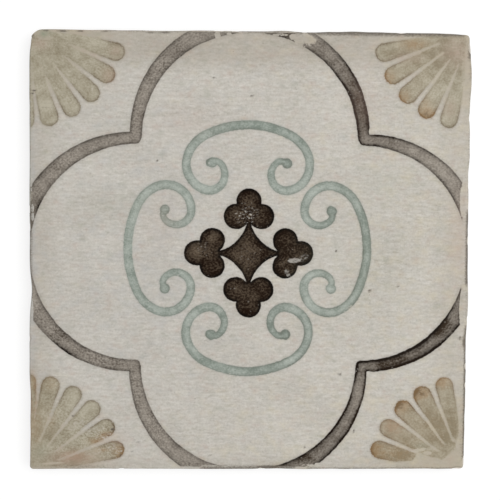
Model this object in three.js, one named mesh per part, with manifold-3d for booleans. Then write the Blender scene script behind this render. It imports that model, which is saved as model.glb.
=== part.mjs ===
// A square ceramic tile painted with a quatrefoil band, four scrolls, a trefoil cross and corner fans.
// It lies on its back. Millimetres: +Z out of the painted face, +X right and +Y up as the face is read,
// and the origin at the middle of the back.

import * as THREE from "three";
import * as BufferGeometryUtils from "three/addons/utils/BufferGeometryUtils.js";
import Module from "manifold-3d";

// Clay slab
const TILE_SIDE = 200;
const BODY_THICKNESS = 9.3;
const BACK_EDGE_RADIUS = 0.8;
const TOP_LEFT_CORNER_RADIUS = 4.0;
const TOP_RIGHT_CORNER_RADIUS = 1.8;
const BOTTOM_RIGHT_CORNER_RADIUS = 1.2;
const BOTTOM_LEFT_CORNER_RADIUS = 1.4;

// Keyed back: square recesses, with ribs between them that the tile rests on
const KEYS_PER_SIDE = 8;
const KEY_BORDER = 9;
const KEY_RIB = 5;
const KEY_DEPTH = 1.2;
const KEY_WALL_LEAN = 0.5;

// Ground coat over the face, and its rounded rim
const GROUND_THICKNESS = 0.5;
const RIM_RADIUS = 0.4;

// Colour fields on the ground, and how far inside the rim the printing stops on each side
const COLOUR_THICKNESS = 0.2;
const LEFT_MARGIN = 0.2;
const TOP_MARGIN = 0.2;
const RIGHT_MARGIN = 2.3;
const BOTTOM_MARGIN = 1.0;
const FIELD_GAP = 0.3;

// Quatrefoil band: four round lobes that reach to the tile's edges. Each lobe's outer circle is wider than
// its inner circle by the band's width, and lies further out by the shift.
const BAND_X = -0.14;
const BAND_Y = -0.29;
const BAND_CROWN_MARGIN = 0.21;
const BAND_LOBE_RADIUS = 49.26;
const BAND_WIDTH = 5.29;
const BAND_SHIFT = 2.83;
const BAND_CUSP_RADIUS = 1.3;
const BAND_CROWN_GAP = 12;

// Trefoil cross: a star with hollow sides and three round lobes on each arm
const CROSS_X = -0.48;
const CROSS_Y = -0.37;
const TIP_LOBE_REACH = 23.73;
const SIDE_LOBE_REACH = 16.64;
const LOBE_RADIUS = 5.87;
const LOBE_OVERLAP = 0.11;
const HOLLOW_RADIUS = 18.1;
const NECK_HALF_WIDTH = 0.3;

// Scrolls: the pass is printed a little off centre and a little tall
const SCROLL_X = -0.97;
const SCROLL_Y = 1.55;
const SCROLL_STRETCH = 0.0164;
const SCROLL_REACH = 55.47;
const SCROLL_WIDTH = 4.25;
const SCROLL_CURL_WIDTH = 3.2;
const SCROLL_BALL_RADIUS = 2.1;

// Arcs of half a scroll, from the middle of its back to the ball in its curl
const BACK_RADIUS = 43.6;
const BACK_SWEEP_DEG = 27.1;
const SHOULDER_RADIUS = 16.76;
const SHOULDER_SWEEP_DEG = 39.2;
const SIDE_RADIUS = 11.71;
const SIDE_SWEEP_DEG = 104.7;
const FOOT_RADIUS = 6.97;
const FOOT_SWEEP_DEG = 148.1;
const CURL_RADIUS = 3.49;
const CURL_SWEEP_DEG = 80;

// Petals of a corner fan, measured out from the fan's own centre, and the palm that joins their roots. The
// petal that runs along the tile's edge has a broad root.
const PETAL_TIP_RADIUS = 4.25;
const PETAL_ROOT_RADIUS = 0.7;
const EDGE_PETAL_ROOT_RADIUS = 2.8;
const PETAL_ROOT_REACH = 6;
const PALM_RADIUS = 16.5;

// Each fan is printed by itself: its centre lies past the tile's corner by OUT_X and OUT_Y, and REACH is
// how far the middle of a petal's round end is from it.
const TOP_LEFT_FAN_OUT_X = 1.74;
const TOP_LEFT_FAN_OUT_Y = 1.48;
const TOP_LEFT_FAN_REACH = 42.25;
const TOP_RIGHT_FAN_OUT_X = 0.42;
const TOP_RIGHT_FAN_OUT_Y = 1.64;
const TOP_RIGHT_FAN_REACH = 41.45;
const BOTTOM_RIGHT_FAN_OUT_X = 1.01;
const BOTTOM_RIGHT_FAN_OUT_Y = 1.66;
const BOTTOM_RIGHT_FAN_REACH = 41.85;
const BOTTOM_LEFT_FAN_OUT_X = 1.78;
const BOTTOM_LEFT_FAN_OUT_Y = 2.29;
const BOTTOM_LEFT_FAN_REACH = 42.45;

// How far out the bottom right fan's palm and its low petal are worn off
const WORN_PALM_REACH = 12;
const WORN_PETAL_REACH = 25;

// Petals are counted anticlockwise from the one on the diagonal, and spacing and turn are in degrees
const FANS = [
  {
    sideX: -1, sideY: 1, spacing: 14.89, turn: -0.43, edgePetal: -3,
    outX: TOP_LEFT_FAN_OUT_X, outY: TOP_LEFT_FAN_OUT_Y, reach: TOP_LEFT_FAN_REACH,
    pieces: [{ name: "fan_top_left", first: -3, last: 2, wornTo: 0 }],
  },
  {
    sideX: 1, sideY: 1, spacing: 15.3, turn: 0.29, edgePetal: null,
    outX: TOP_RIGHT_FAN_OUT_X, outY: TOP_RIGHT_FAN_OUT_Y, reach: TOP_RIGHT_FAN_REACH,
    pieces: [{ name: "fan_top_right", first: -2, last: 2, wornTo: 0 }],
  },
  {
    sideX: 1, sideY: -1, spacing: 14.97, turn: 0, edgePetal: null,
    outX: BOTTOM_RIGHT_FAN_OUT_X, outY: BOTTOM_RIGHT_FAN_OUT_Y, reach: BOTTOM_RIGHT_FAN_REACH,
    pieces: [
      { name: "fan_bottom_right", first: -2, last: 1, wornTo: WORN_PALM_REACH },
      { name: "petal_bottom_right", first: 2, last: 2, wornTo: WORN_PETAL_REACH },
    ],
  },
  {
    sideX: -1, sideY: -1, spacing: 14.68, turn: 0, edgePetal: 3,
    outX: BOTTOM_LEFT_FAN_OUT_X, outY: BOTTOM_LEFT_FAN_OUT_Y, reach: BOTTOM_LEFT_FAN_REACH,
    pieces: [{ name: "fan_bottom_left", first: -2, last: 3, wornTo: 0 }],
  },
];

// Facets: the most that a chord may miss its arc by, and the steps round an edge
const CHORD_ERROR = 0.05;
const EDGE_STEPS = 4;

// How far a cutting shape reaches past what it cuts
const OVERREACH = 1;

const HALF_SIDE = TILE_SIDE / 2;
const FACE_HEIGHT = BODY_THICKNESS + GROUND_THICKNESS;
const QUARTER_TURN = Math.PI / 2;

const wasm = await Module();
wasm.setup();

// Points along an arc, ends included, with enough of them to keep to the chord error.
function arcPoints(x, y, radius, from, to) {
  const widest = Math.sqrt((8 * CHORD_ERROR) / radius);
  const steps = Math.max(2, Math.ceil(Math.abs(to - from) / widest));
  return Array.from({ length: steps + 1 }, (_, i) => {
    const angle = from + ((to - from) * i) / steps;
    return new THREE.Vector2(x + radius * Math.cos(angle), y + radius * Math.sin(angle));
  });
}

function discPoints(x, y, radius) {
  return arcPoints(x, y, radius, 0, 2 * Math.PI).slice(1);
}

function rectanglePoints(left, bottom, right, top) {
  const corners = [[left, bottom], [right, bottom], [right, top], [left, top]];
  return corners.map(([x, y]) => new THREE.Vector2(x, y));
}

// The tile's outline moved inwards by an inset.
function tileOutline(inset) {
  const edge = HALF_SIDE - inset;
  const corner = (sideX, sideY, cornerRadius, from) => {
    const radius = Math.max(cornerRadius - inset, CHORD_ERROR);
    return arcPoints(sideX * (edge - radius), sideY * (edge - radius), radius, from, from + QUARTER_TURN);
  };
  return [
    ...corner(1, 1, TOP_RIGHT_CORNER_RADIUS, 0),
    ...corner(-1, 1, TOP_LEFT_CORNER_RADIUS, QUARTER_TURN),
    ...corner(-1, -1, BOTTOM_LEFT_CORNER_RADIUS, 2 * QUARTER_TURN),
    ...corner(1, -1, BOTTOM_RIGHT_CORNER_RADIUS, 3 * QUARTER_TURN),
  ];
}

function solidOf(geometry) {
  const bare = geometry.clone();
  bare.deleteAttribute("normal");
  bare.deleteAttribute("uv");
  const merged = BufferGeometryUtils.mergeVertices(bare);
  return new wasm.Manifold(new wasm.Mesh({
    numProp: 3,
    vertProperties: merged.attributes.position.array,
    triVerts: new Uint32Array(merged.index.array),
  }));
}

function geometryOf(solid) {
  const mesh = solid.getMesh();
  const geometry = new THREE.BufferGeometry();
  geometry.setAttribute("position", new THREE.BufferAttribute(mesh.vertProperties, 3));
  geometry.setIndex(new THREE.BufferAttribute(mesh.triVerts, 1));
  geometry.computeVertexNormals();
  return geometry;
}

function extruded(points, bottom, top) {
  const options = { depth: top - bottom, bevelEnabled: false };
  return new THREE.ExtrudeGeometry(new THREE.Shape(points), options).translate(0, 0, bottom);
}

// A flat field of colour, standing on z = 0, and a cutter that reaches past it on both sides.
function field(points) {
  return solidOf(extruded(points, 0, COLOUR_THICKNESS));
}

function cutter(points) {
  return solidOf(extruded(points, -COLOUR_THICKNESS, 2 * COLOUR_THICKNESS));
}

function joined(solids) {
  return solids.reduce((whole, solid) => whole.add(solid));
}

// A plate of the tile's outline from z = 0 up, whose edge is rounded where it meets z = 0 or the top.
function plate(thickness, edgeRadius, roundedAtTop) {
  const spare = 2 * edgeRadius;
  const geometry = new THREE.ExtrudeGeometry(new THREE.Shape(tileOutline(0)), {
    depth: thickness,
    bevelEnabled: true,
    bevelThickness: edgeRadius,
    bevelSize: edgeRadius,
    bevelOffset: -edgeRadius,
    bevelSegments: EDGE_STEPS,
  });
  geometry.translate(0, 0, edgeRadius - (roundedAtTop ? spare : 0));
  const keep = rectanglePoints(-TILE_SIDE, -TILE_SIDE, TILE_SIDE, TILE_SIDE);
  const [bottom, top] = roundedAtTop ? [0, thickness + OVERREACH] : [-OVERREACH, thickness];
  return solidOf(geometry).intersect(solidOf(extruded(keep, bottom, top)));
}

function finish(color, roughness) {
  return new THREE.MeshStandardMaterial({ color, roughness, metalness: 0 });
}

const clay = finish(0xa89a86, 0.9);
const ground = finish(0xbebab0, 0.6);
const bandGrey = finish(0x847a70, 0.6);
const scrollGreen = finish(0x9ba69b, 0.6);
const crossBrown = finish(0x4c4238, 0.6);
const fanKhaki = finish(0xa59b85, 0.6);

const tile = new THREE.Group();

function addPiece(name, solid, material, height) {
  const mesh = new THREE.Mesh(geometryOf(solid), material);
  mesh.name = name;
  mesh.position.z = height;
  tile.add(mesh);
}

// Clay slab with its keyed back
function keyRecess(x, y, size) {
  const floorCorner = (size / 2 - KEY_WALL_LEAN) * Math.SQRT2;
  const lowestCorner = (size / 2 + KEY_WALL_LEAN) * Math.SQRT2;
  const geometry = new THREE.CylinderGeometry(floorCorner, lowestCorner, 2 * KEY_DEPTH, 4);
  geometry.rotateY(QUARTER_TURN / 2).rotateX(QUARTER_TURN).translate(x, y, 0);
  return solidOf(geometry);
}

function clayBody() {
  const size = (TILE_SIDE - 2 * KEY_BORDER - (KEYS_PER_SIDE - 1) * KEY_RIB) / KEYS_PER_SIDE;
  const place = (i) => (i - (KEYS_PER_SIDE - 1) / 2) * (size + KEY_RIB);
  let body = plate(BODY_THICKNESS, BACK_EDGE_RADIUS, false);
  for (let row = 0; row < KEYS_PER_SIDE; row += 1) {
    for (let column = 0; column < KEYS_PER_SIDE; column += 1) {
      body = body.subtract(keyRecess(place(column), place(row), size));
    }
  }
  return body;
}

addPiece("clay_body", clayBody(), clay, 0);

// Ground coat
const rim = Math.min(RIM_RADIUS, GROUND_THICKNESS);
addPiece("ground_coat", plate(GROUND_THICKNESS, rim, true), ground, BODY_THICKNESS);

// What the printing covers: the flat of the face, less a margin on each side
const flatEdge = HALF_SIDE - rim;
const printed = cutter(tileOutline(rim)).intersect(cutter(rectanglePoints(
  LEFT_MARGIN - flatEdge,
  BOTTOM_MARGIN - flatEdge,
  flatEdge - RIGHT_MARGIN,
  flatEdge - TOP_MARGIN,
)));

// Quatrefoil band: one bracket, between the top lobe and the right lobe, turned to each corner
function bandBracket() {
  const innerOffset = HALF_SIDE - BAND_CROWN_MARGIN - BAND_LOBE_RADIUS;
  const outerOffset = innerOffset + BAND_SHIFT;
  const outerRadius = BAND_LOBE_RADIUS + BAND_WIDTH;
  const reach = BAND_LOBE_RADIUS + BAND_CUSP_RADIUS;
  const half = innerOffset / 2;
  const cusp = half + Math.sqrt((reach * reach) / 2 - half * half);
  const lean = Math.atan2(cusp - innerOffset, cusp);
  const crown = Math.acos(BAND_CROWN_GAP / 2 / BAND_LOBE_RADIUS);
  const far = outerOffset + outerRadius + OVERREACH;
  const edge = BAND_CROWN_GAP / 2;
  const outside = field([
    ...arcPoints(0, innerOffset, BAND_LOBE_RADIUS, crown, lean),
    ...arcPoints(cusp, cusp, BAND_CUSP_RADIUS, Math.PI + lean, 3 * QUARTER_TURN - lean).slice(1, -1),
    ...arcPoints(innerOffset, 0, BAND_LOBE_RADIUS, QUARTER_TURN - lean, QUARTER_TURN - crown),
    new THREE.Vector2(far, edge),
    new THREE.Vector2(far, far),
    new THREE.Vector2(edge, far),
  ]);
  const lobes = cutter(discPoints(0, outerOffset, outerRadius))
    .add(cutter(discPoints(outerOffset, 0, outerRadius)));
  return geometryOf(outside.intersect(lobes));
}

const bracket = bandBracket();
["band_top_right", "band_top_left", "band_bottom_left", "band_bottom_right"].forEach((name, quarter) => {
  const turned = bracket.clone().rotateZ(quarter * QUARTER_TURN).translate(BAND_X, BAND_Y, 0);
  addPiece(name, solidOf(turned).intersect(printed), bandGrey, FACE_HEIGHT);
});

// Trefoil cross
function trefoilCross() {
  const hollow = HOLLOW_RADIUS + NECK_HALF_WIDTH;
  const spread = LOBE_RADIUS - LOBE_OVERLAP;
  let cross = field(rectanglePoints(-TIP_LOBE_REACH, -TIP_LOBE_REACH, TIP_LOBE_REACH, TIP_LOBE_REACH));
  for (const [sideX, sideY] of [[1, 1], [-1, 1], [-1, -1], [1, -1]]) {
    cross = cross.subtract(cutter(discPoints(sideX * hollow, sideY * hollow, HOLLOW_RADIUS)));
  }
  const arm = geometryOf(joined([
    field(discPoints(TIP_LOBE_REACH, 0, LOBE_RADIUS)),
    field(discPoints(SIDE_LOBE_REACH, spread, LOBE_RADIUS)),
    field(discPoints(SIDE_LOBE_REACH, -spread, LOBE_RADIUS)),
  ]));
  for (let quarter = 0; quarter < 4; quarter += 1) {
    cross = cross.add(solidOf(arm.clone().rotateZ(quarter * QUARTER_TURN)));
  }
  return solidOf(geometryOf(cross).translate(CROSS_X, CROSS_Y, 0)).intersect(printed);
}

addPiece("trefoil_cross", trefoilCross(), crossBrown, FACE_HEIGHT);

// Scrolls: the centre line of half a scroll runs clockwise from the middle of its back
function scrollCentreLine() {
  const arcs = [
    { radius: BACK_RADIUS, sweep: BACK_SWEEP_DEG, endWidth: SCROLL_WIDTH },
    { radius: SHOULDER_RADIUS, sweep: SHOULDER_SWEEP_DEG, endWidth: SCROLL_WIDTH },
    { radius: SIDE_RADIUS, sweep: SIDE_SWEEP_DEG, endWidth: SCROLL_WIDTH },
    { radius: FOOT_RADIUS, sweep: FOOT_SWEEP_DEG, endWidth: SCROLL_CURL_WIDTH },
    { radius: CURL_RADIUS, sweep: CURL_SWEEP_DEG, endWidth: SCROLL_CURL_WIDTH },
  ];
  const line = [{ x: 0, y: SCROLL_REACH, angle: QUARTER_TURN, width: SCROLL_WIDTH }];
  for (const { radius, sweep, endWidth } of arcs) {
    const start = line.at(-1);
    const x = start.x - radius * Math.cos(start.angle);
    const y = start.y - radius * Math.sin(start.angle);
    const endAngle = start.angle - THREE.MathUtils.degToRad(sweep);
    const points = arcPoints(x, y, radius, start.angle, endAngle);
    points.slice(1).forEach((point, i) => {
      const share = (i + 1) / (points.length - 1);
      const angle = THREE.MathUtils.lerp(start.angle, endAngle, share);
      const width = THREE.MathUtils.lerp(start.width, endWidth, share);
      line.push({ x: point.x, y: point.y, angle, width });
    });
  }
  return line;
}

function topScroll() {
  const line = scrollCentreLine();
  const edge = (side) => line.map(({ x, y, angle, width }) => new THREE.Vector2(
    x + (side * width * Math.cos(angle)) / 2,
    y + (side * width * Math.sin(angle)) / 2,
  ));
  const mirrored = ({ x, y }) => new THREE.Vector2(-x, y);
  const outer = edge(1);
  const inner = edge(-1);
  const end = line.at(-1);
  const scroll = joined([
    field([
      ...outer.slice(1).map(mirrored).reverse(),
      ...outer,
      ...inner.toReversed(),
      ...inner.slice(1).map(mirrored),
    ]),
    field(discPoints(end.x, end.y, SCROLL_BALL_RADIUS)),
    field(discPoints(-end.x, end.y, SCROLL_BALL_RADIUS)),
  ]);
  // Each scroll keeps to its own side of the diagonals, clear of its neighbours by the gap
  const far = 2 * SCROLL_REACH;
  const clear = FIELD_GAP / Math.SQRT2;
  const quadrant = cutter([
    new THREE.Vector2(0, clear),
    new THREE.Vector2(far, far + clear),
    new THREE.Vector2(-far, far + clear),
  ]);
  return geometryOf(scroll.intersect(quadrant));
}

const scroll = topScroll();
["scroll_top", "scroll_left", "scroll_bottom", "scroll_right"].forEach((name, quarter) => {
  const turned = scroll.clone().rotateZ(quarter * QUARTER_TURN);
  turned.scale(1 - SCROLL_STRETCH, 1 + SCROLL_STRETCH, 1).translate(SCROLL_X, SCROLL_Y, 0);
  addPiece(name, solidOf(turned).intersect(printed), scrollGreen, FACE_HEIGHT);
});

// Corner fans: petals with straight tapered sides and round ends, joined at the root by the palm
function petal(reach, rootRadius) {
  const flare = QUARTER_TURN + Math.asin((PETAL_TIP_RADIUS - rootRadius) / (reach - PETAL_ROOT_REACH));
  return extruded([
    ...arcPoints(reach, 0, PETAL_TIP_RADIUS, -flare, flare),
    ...arcPoints(PETAL_ROOT_REACH, 0, rootRadius, flare, 2 * Math.PI - flare),
  ], 0, COLOUR_THICKNESS);
}

function palm(from, to) {
  const sector = [new THREE.Vector2(0, 0), ...arcPoints(0, 0, PALM_RADIUS, from, to)];
  return extruded(sector, 0, COLOUR_THICKNESS);
}

for (const { sideX, sideY, outX, outY, reach, spacing, turn, edgePetal, pieces } of FANS) {
  const x = sideX * (HALF_SIDE + outX);
  const y = sideY * (HALF_SIDE + outY);
  const inwards = Math.atan2(-sideY, -sideX);
  const angleOf = (i) => inwards + THREE.MathUtils.degToRad(i * spacing + turn);
  for (const { name, first, last, wornTo } of pieces) {
    const parts = [palm(angleOf(first - 0.5), angleOf(last + 0.5))];
    for (let i = first; i <= last; i += 1) {
      const rootRadius = i === edgePetal ? EDGE_PETAL_ROOT_RADIUS : PETAL_ROOT_RADIUS;
      parts.push(petal(reach, rootRadius).rotateZ(angleOf(i)));
    }
    let fan = joined(parts.map((part) => solidOf(part.translate(x, y, 0)))).intersect(printed);
    if (wornTo > 0) {
      fan = fan.subtract(cutter(discPoints(x, y, wornTo)));
    }
    addPiece(name, fan, fanKhaki, FACE_HEIGHT);
  }
}

export default tile;
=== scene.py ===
"""A worn ceramic tile with a printed quatrefoil, scrolls, a trefoil cross and corner fans.

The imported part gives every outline. The slab, its ground coat and each printed colour are modelled again
on it, with the waviness, worn edges and uneven colour of a hand-finished tile. Lengths are in millimetres, in
the part's own frame: +Z out of the face, +X right and +Y up as the face is read.
"""

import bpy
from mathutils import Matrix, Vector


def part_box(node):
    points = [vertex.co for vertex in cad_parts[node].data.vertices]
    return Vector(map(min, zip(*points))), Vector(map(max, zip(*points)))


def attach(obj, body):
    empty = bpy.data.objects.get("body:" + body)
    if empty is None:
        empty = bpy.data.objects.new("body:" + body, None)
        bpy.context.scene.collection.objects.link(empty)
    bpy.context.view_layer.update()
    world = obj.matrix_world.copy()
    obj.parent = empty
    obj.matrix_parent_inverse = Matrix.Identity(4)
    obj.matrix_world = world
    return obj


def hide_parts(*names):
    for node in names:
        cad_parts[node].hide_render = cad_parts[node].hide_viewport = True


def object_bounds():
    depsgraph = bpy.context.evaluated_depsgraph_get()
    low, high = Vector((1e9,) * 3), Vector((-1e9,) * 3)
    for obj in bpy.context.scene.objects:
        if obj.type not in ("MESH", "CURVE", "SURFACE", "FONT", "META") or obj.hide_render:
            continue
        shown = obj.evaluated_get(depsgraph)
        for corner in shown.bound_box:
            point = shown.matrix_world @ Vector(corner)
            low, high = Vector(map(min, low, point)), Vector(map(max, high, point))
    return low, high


bl_info = {
    "name": "Quatrefoil tile",
    "version": (1, 0, 0),
    "blender": (4, 5, 0),
    "location": "3D View > Sidebar > Tile",
    "description": "Models a worn ceramic tile and its printed colours",
    "category": "Object",
}

import math

import bpy
import numpy as np
from bpy.props import FloatProperty, FloatVectorProperty, PointerProperty
from mathutils import Vector
from mathutils.bvhtree import BVHTree

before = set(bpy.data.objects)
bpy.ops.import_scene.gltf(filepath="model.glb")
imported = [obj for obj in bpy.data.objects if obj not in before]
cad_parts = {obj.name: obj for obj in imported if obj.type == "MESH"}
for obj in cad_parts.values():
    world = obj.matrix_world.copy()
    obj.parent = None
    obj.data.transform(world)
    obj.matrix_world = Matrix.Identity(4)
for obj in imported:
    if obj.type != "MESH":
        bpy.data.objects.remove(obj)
CAD_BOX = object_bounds()

MM = 0.001
HALF_SIDE = CAD_BOX[1].x / MM
COAT_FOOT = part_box("ground_coat")[0].z / MM
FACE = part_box("ground_coat")[1].z / MM

# Each side of the tile: its axis, its sign on it and the seed of its wandering
SIDES = {"right": (0, 1, 21), "left": (0, -1, 22), "top": (1, 1, 23), "bottom": (1, -1, 24)}

# Corner radii of the outline, by the side in x and the side in y that meet there
CORNER_RADII = {(-1, 1): 6.0, (1, 1): 2.5, (1, -1): 2.1, (-1, -1): 1.5}
RIM_RADIUS = 0.4
BACK_EDGE_RADIUS = 0.8
SMOOTH_ANGLE = 40

# Keyed back: square recesses with leaning walls, and the ribs between them
KEYS_PER_SIDE = 8
KEY_BORDER = 9.0
KEY_RIB = 5.0
KEY_DEPTH = 1.2
KEY_WALL = 1.0
KEY_WALL_LINES = (0, 0.3 * KEY_WALL, 0.7 * KEY_WALL, KEY_WALL)
KEY_PITCH = (2 * HALF_SIDE - 2 * KEY_BORDER + KEY_RIB) / KEYS_PER_SIDE

# Mesh lines: how far in from a side the close ones lie and the even ones start, and the even ones' spacing
COAT_RINGS = (0, 0.06, 0.14, 0.25, RIM_RADIUS, 0.6, 0.9, 1.4)
COAT_EVEN = 2
COAT_STEP = 0.9
BACK_RINGS = (0, 0.1, 0.25, 0.45, BACK_EDGE_RADIUS, 1.3, 2.2)
BACK_EVEN = 3.2
BACK_STEP = 1.25
SIDE_ROWS = 9
FILM_STEP = 0.4

# Printed film: how far its thin rim runs out past the colour, the rim's height and how much it thins there
FILM_MARGIN = 1.2
FILM_RIM = 0.05
FILM_THINNING = 0.03

# Where the colour's own thickness starts, over what width it builds up, and how deep the underside sinks
FILM_RISE_START = 0.3
FILM_RISE = 0.9
FILM_SINK = 0.02

# How far from a colour's edge its distance is still measured, and how high its upper skin is lifted at first
FILM_FAR = 2 * (FILM_MARGIN + FILM_STEP)
FILM_LIFT = 1000

# A face of a node is a top, or a bottom, when its normal's height is past this
UP_FACING = 0.5

# Parts of a node's wall that are a cut along the tile's side: how near it, how straight and how near a corner
CUT_NEAR = 2.6
CUT_STRAIGHT = 0.9999
CUT_CORNER = 5

# The least that a length is divided by
TINY = 1e-9

# Ripples: how many straight waves make one, and how much longer or shorter than asked they are
WAVES = 7
WAVE_LENGTHS = (0.7, 1.5)

# Unevenness made of ripples: height or share, length and seed
FACE_RIPPLES = ((0.6, 70, 3), (0.4, 28, 4))
PRINT_RIPPLES_ACROSS = ((0.7, 14, 41), (0.4, 4, 42))
PRINT_RIPPLES_UP = ((0.7, 14, 43), (0.4, 4, 44))
SIDE_DRAGS = (0.6, 9, 31)
SIDE_PITS = (0.4, 3, 32)
BACK_SWELL = (0.03, 18, 7)
BACK_RIPPLES = (0.04, 6, 8)

# Ripples of the outline: share, length and the row that they are read along
EDGE_RIPPLES = ((0.6, 45, 9), (0.4, 11, 0))

# How far in from a side the surface follows its wandering
WANDER_REACH = 8

# How near the outline the slab's side is rough, and how far in from it the back's swell is held down
SIDE_DEPTH = 1.2
BACK_CALM = 4

# How fast a soft spot fades: a quarter of it is left at its reach
FALL_OFF = 1.4

# Where the outline swells out, or draws in when less than 0: side, place along it, reach and how far
SWELLS = [
    ("left", -76, 20, -0.36), ("left", -18, 9, -1), ("left", 95, 5, -0.7), ("left", -65, 6, -0.2),
    ("left", 65, 5, -0.15), ("bottom", 20, 8, 0.12), ("bottom", 15, 5, -0.2), ("bottom", 25, 5, 0.2),
    ("right", -23, 14, 0.8), ("right", -52, 5, 0.25), ("right", 35, 5, -0.3), ("right", 55, 5, 0.25),
    ("right", 75, 5, 0.25), ("right", -2, 14, 0.36), ("right", -62, 12, 0.28), ("right", 46, 6, 0.36),
    ("right", 81, 9, 0.58), ("right", 97, 4, -0.6), ("top", 15, 7, 0.6), ("top", 35, 5, 0.3),
    ("top", 4, 9, 0.24), ("top", -20, 12, 0.32), ("top", 46, 9, 0.56), ("top", 58, 8, 0.3),
    ("top", 82, 9, 0.16), ("top", 97, 4, -0.3), ("top", 68, 5, 0.14),
]

# Chips in the coat's rim: side, place along it, length and depth
CHIPS = [
    ("right", 93.5, 5, 0.9), ("right", 62, 2.6, 0.5), ("right", 31, 2.2, 0.4), ("right", 6, 3.4, 0.5),
    ("right", -30, 2.4, 0.5), ("right", -52, 2.8, 0.7), ("right", -61, 2.2, 0.6),
    ("right", -96.5, 4.6, 0.8), ("top", -14.7, 3.4, 0.7), ("top", -7.5, 2.6, 0.5), ("top", 24, 2.2, 0.4),
    ("top", 68, 3, 0.4), ("left", 19, 2.6, 0.5), ("left", 10.5, 3, 0.6), ("left", -40, 2, 0.4),
    ("bottom", 97, 4.4, 0.7), ("bottom", 6, 2.6, 0.4), ("bottom", -58, 2.2, 0.3),
]

# How far in from its side a chip can be, and how far in it draws the rim
CHIP_ZONE = 6
CHIP_REACH = 3

# How deep a chip's edge breaks away, how far in that runs for its depth, and what is left of the coat there
CHIP_DROP = 0.35
CHIP_SLOPE = 1.6
COAT_LEAST = 0.02

# Darker along the rim: side, from and to along it, how far in it reaches and its strength
RIM_DARKENING = [
    ("top", 18, 99, 2.6, 0.72), ("top", -70, -13, 1.6, 0.36), ("top", -7, 22, 1.6, 0.36),
    ("top", -6, 16, 2.2, 0.46), ("top", 36, 64, 3.4, 0.5), ("right", -17, 22, 1.9, 0.74),
    ("right", -34, -14, 1.4, 0.3), ("right", -98, -31, 1.7, 0.74), ("right", 22, 78, 1, 0.3),
    ("right", 86, 96, 2.6, 0.72), ("right", 76, 88, 1.4, 0.35), ("bottom", -24, 24, 3.2, 0.66),
    ("bottom", 24, 101, 1.8, 0.52), ("bottom", -101, -24, 0.9, 0.25), ("left", -24, 24, 2.6, 0.58),
    ("left", 24, 99, 1.2, 0.34), ("left", -99, -24, 1.2, 0.26),
]

# How far the ends of a darker stretch fade, and how far in from the rim it stays full
RIM_DARK_FADE = 4
RIM_DARK_FULL = 0.2

# How much darker the ground is towards each side: side, full as far in as this, gone at this, and strength
SIDES_DARKER = [("top", 9, 21, 1.0), ("left", 3, 17, 0.6), ("right", 7, 21, 0.5), ("bottom", 2, 9, 0.42)]

# Bloom between the petals: its strength, how far from the corner it is full and over what width it fades
HAZE = 0.75
HAZE_FULL = 16
HAZE_FADE = 34

# Where the brush marks in the ground are stronger: x, y, reach in x, reach in y and strength
SCUFFED = [
    (62, -6, 22, 14, 0.6), (80, 18, 18, 8, 0.5), (-30, 62, 18, 6, 0.35), (10, -66, 30, 10, 0.4),
    (-70, 20, 16, 12, 0.3), (-20, -82, 24, 8, 0.4), (60, -30, 20, 6, 0.35), (0, 84, 26, 6, 0.3),
]

# Where the ground is creamier, or cooler when less than 0
CREAM = [
    (95, 0, 70, 160, 0.13), (-45, -12, 45, 55, -0.16), (-30, 45, 45, 30, -0.08), (20, -85, 80, 28, 0.09),
    (96, 95, 16, 16, -0.05), (98, -94, 14, 16, -0.04), (-99, 0, 2.6, 90, -0.4),
]

# Stains: ochre lies in the print only, rust in the ground only, and rose, moss and the dark spots below in
# both
OCHRE = [
    (74, 95, 7, 2.8, 0.6), (62, 79.6, 3.6, 4.2, 0.68), (69, 70.6, 3.6, 3.8, 0.62),
    (80, 63.4, 4.4, 3.6, 0.95), (79.6, 68, 3.4, 3.6, 0.3), (69.6, -70.2, 4, 3.6, 1.25),
    (76.8, -64.2, 3.4, 3.4, 1.2), (80.2, -64.6, 3.2, 2.6, 0.9), (89.2, -59.2, 4.4, 3.6, 0.75),
    (66.5, -80, 4.8, 4.2, 0.45), (57.6, -90.8, 4.4, 4.6, 0.65), (66, -92.6, 13, 5, 0.3),
    (80, -80, 26, 24, 0.2), (72, 82, 16, 22, 0.1), (-97.5, -60, 3, 5, 0.45), (-97.5, -80, 4.5, 12, 0.35),
    (-89.9, -60.5, 4.2, 4.6, 0.25), (-64.6, -84.4, 3.4, 1.8, 1.1), (-69.6, -87, 4.2, 1.9, 0.65),
    (-58.6, -92, 3.4, 3.6, 0.7), (-67, -91, 4, 1.2, 0.5), (-79, -94, 8, 3, 0.5), (-90, -77, 3, 7, 0.2),
    (-64, 79.4, 4.2, 4.2, 0.22),
]
RUST = [(-98.6, -67, 2.2, 13, 1), (-99, -84, 1.6, 9, 0.5), (-70, -87, 7, 1.6, 0.5)]
ROSE = [
    (-95, 93.4, 4.4, 3.4, 0.6), (-61.2, 90.3, 3.4, 3.2, 0.55), (-64, 79.4, 3.6, 4, 0.5),
    (93, 92, 8, 8, 0.6), (66.5, -80.5, 5.5, 5, 0.3), (-80, -95, 14, 4.5, 0.8), (-60, -86, 6, 4, 0.4),
    (90.5, 66, 3.5, 5, 0.5), (72, 89, 8, 3, 0.35), (96, 6, 5, 20, 0.5), (-30, 60, 18, 9, 0.25),
    (52, 70, 9, 16, 0.3), (-40, 12, 9, 14, 0.3),
]
MOSS = [
    (-94.9, -91.8, 4.4, 4, 0.5), (-93.2, 98, 3, 2.2, 1.35), (-99.4, 40, 0.8, 60, 0.3),
    (-62, 22, 16, 8, 0.25), (60, 32, 18, 9, 0.3), (80.3, -89, 4.6, 1.8, 0.5), (56, -8, 30, 30, 0.2),
]
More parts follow.
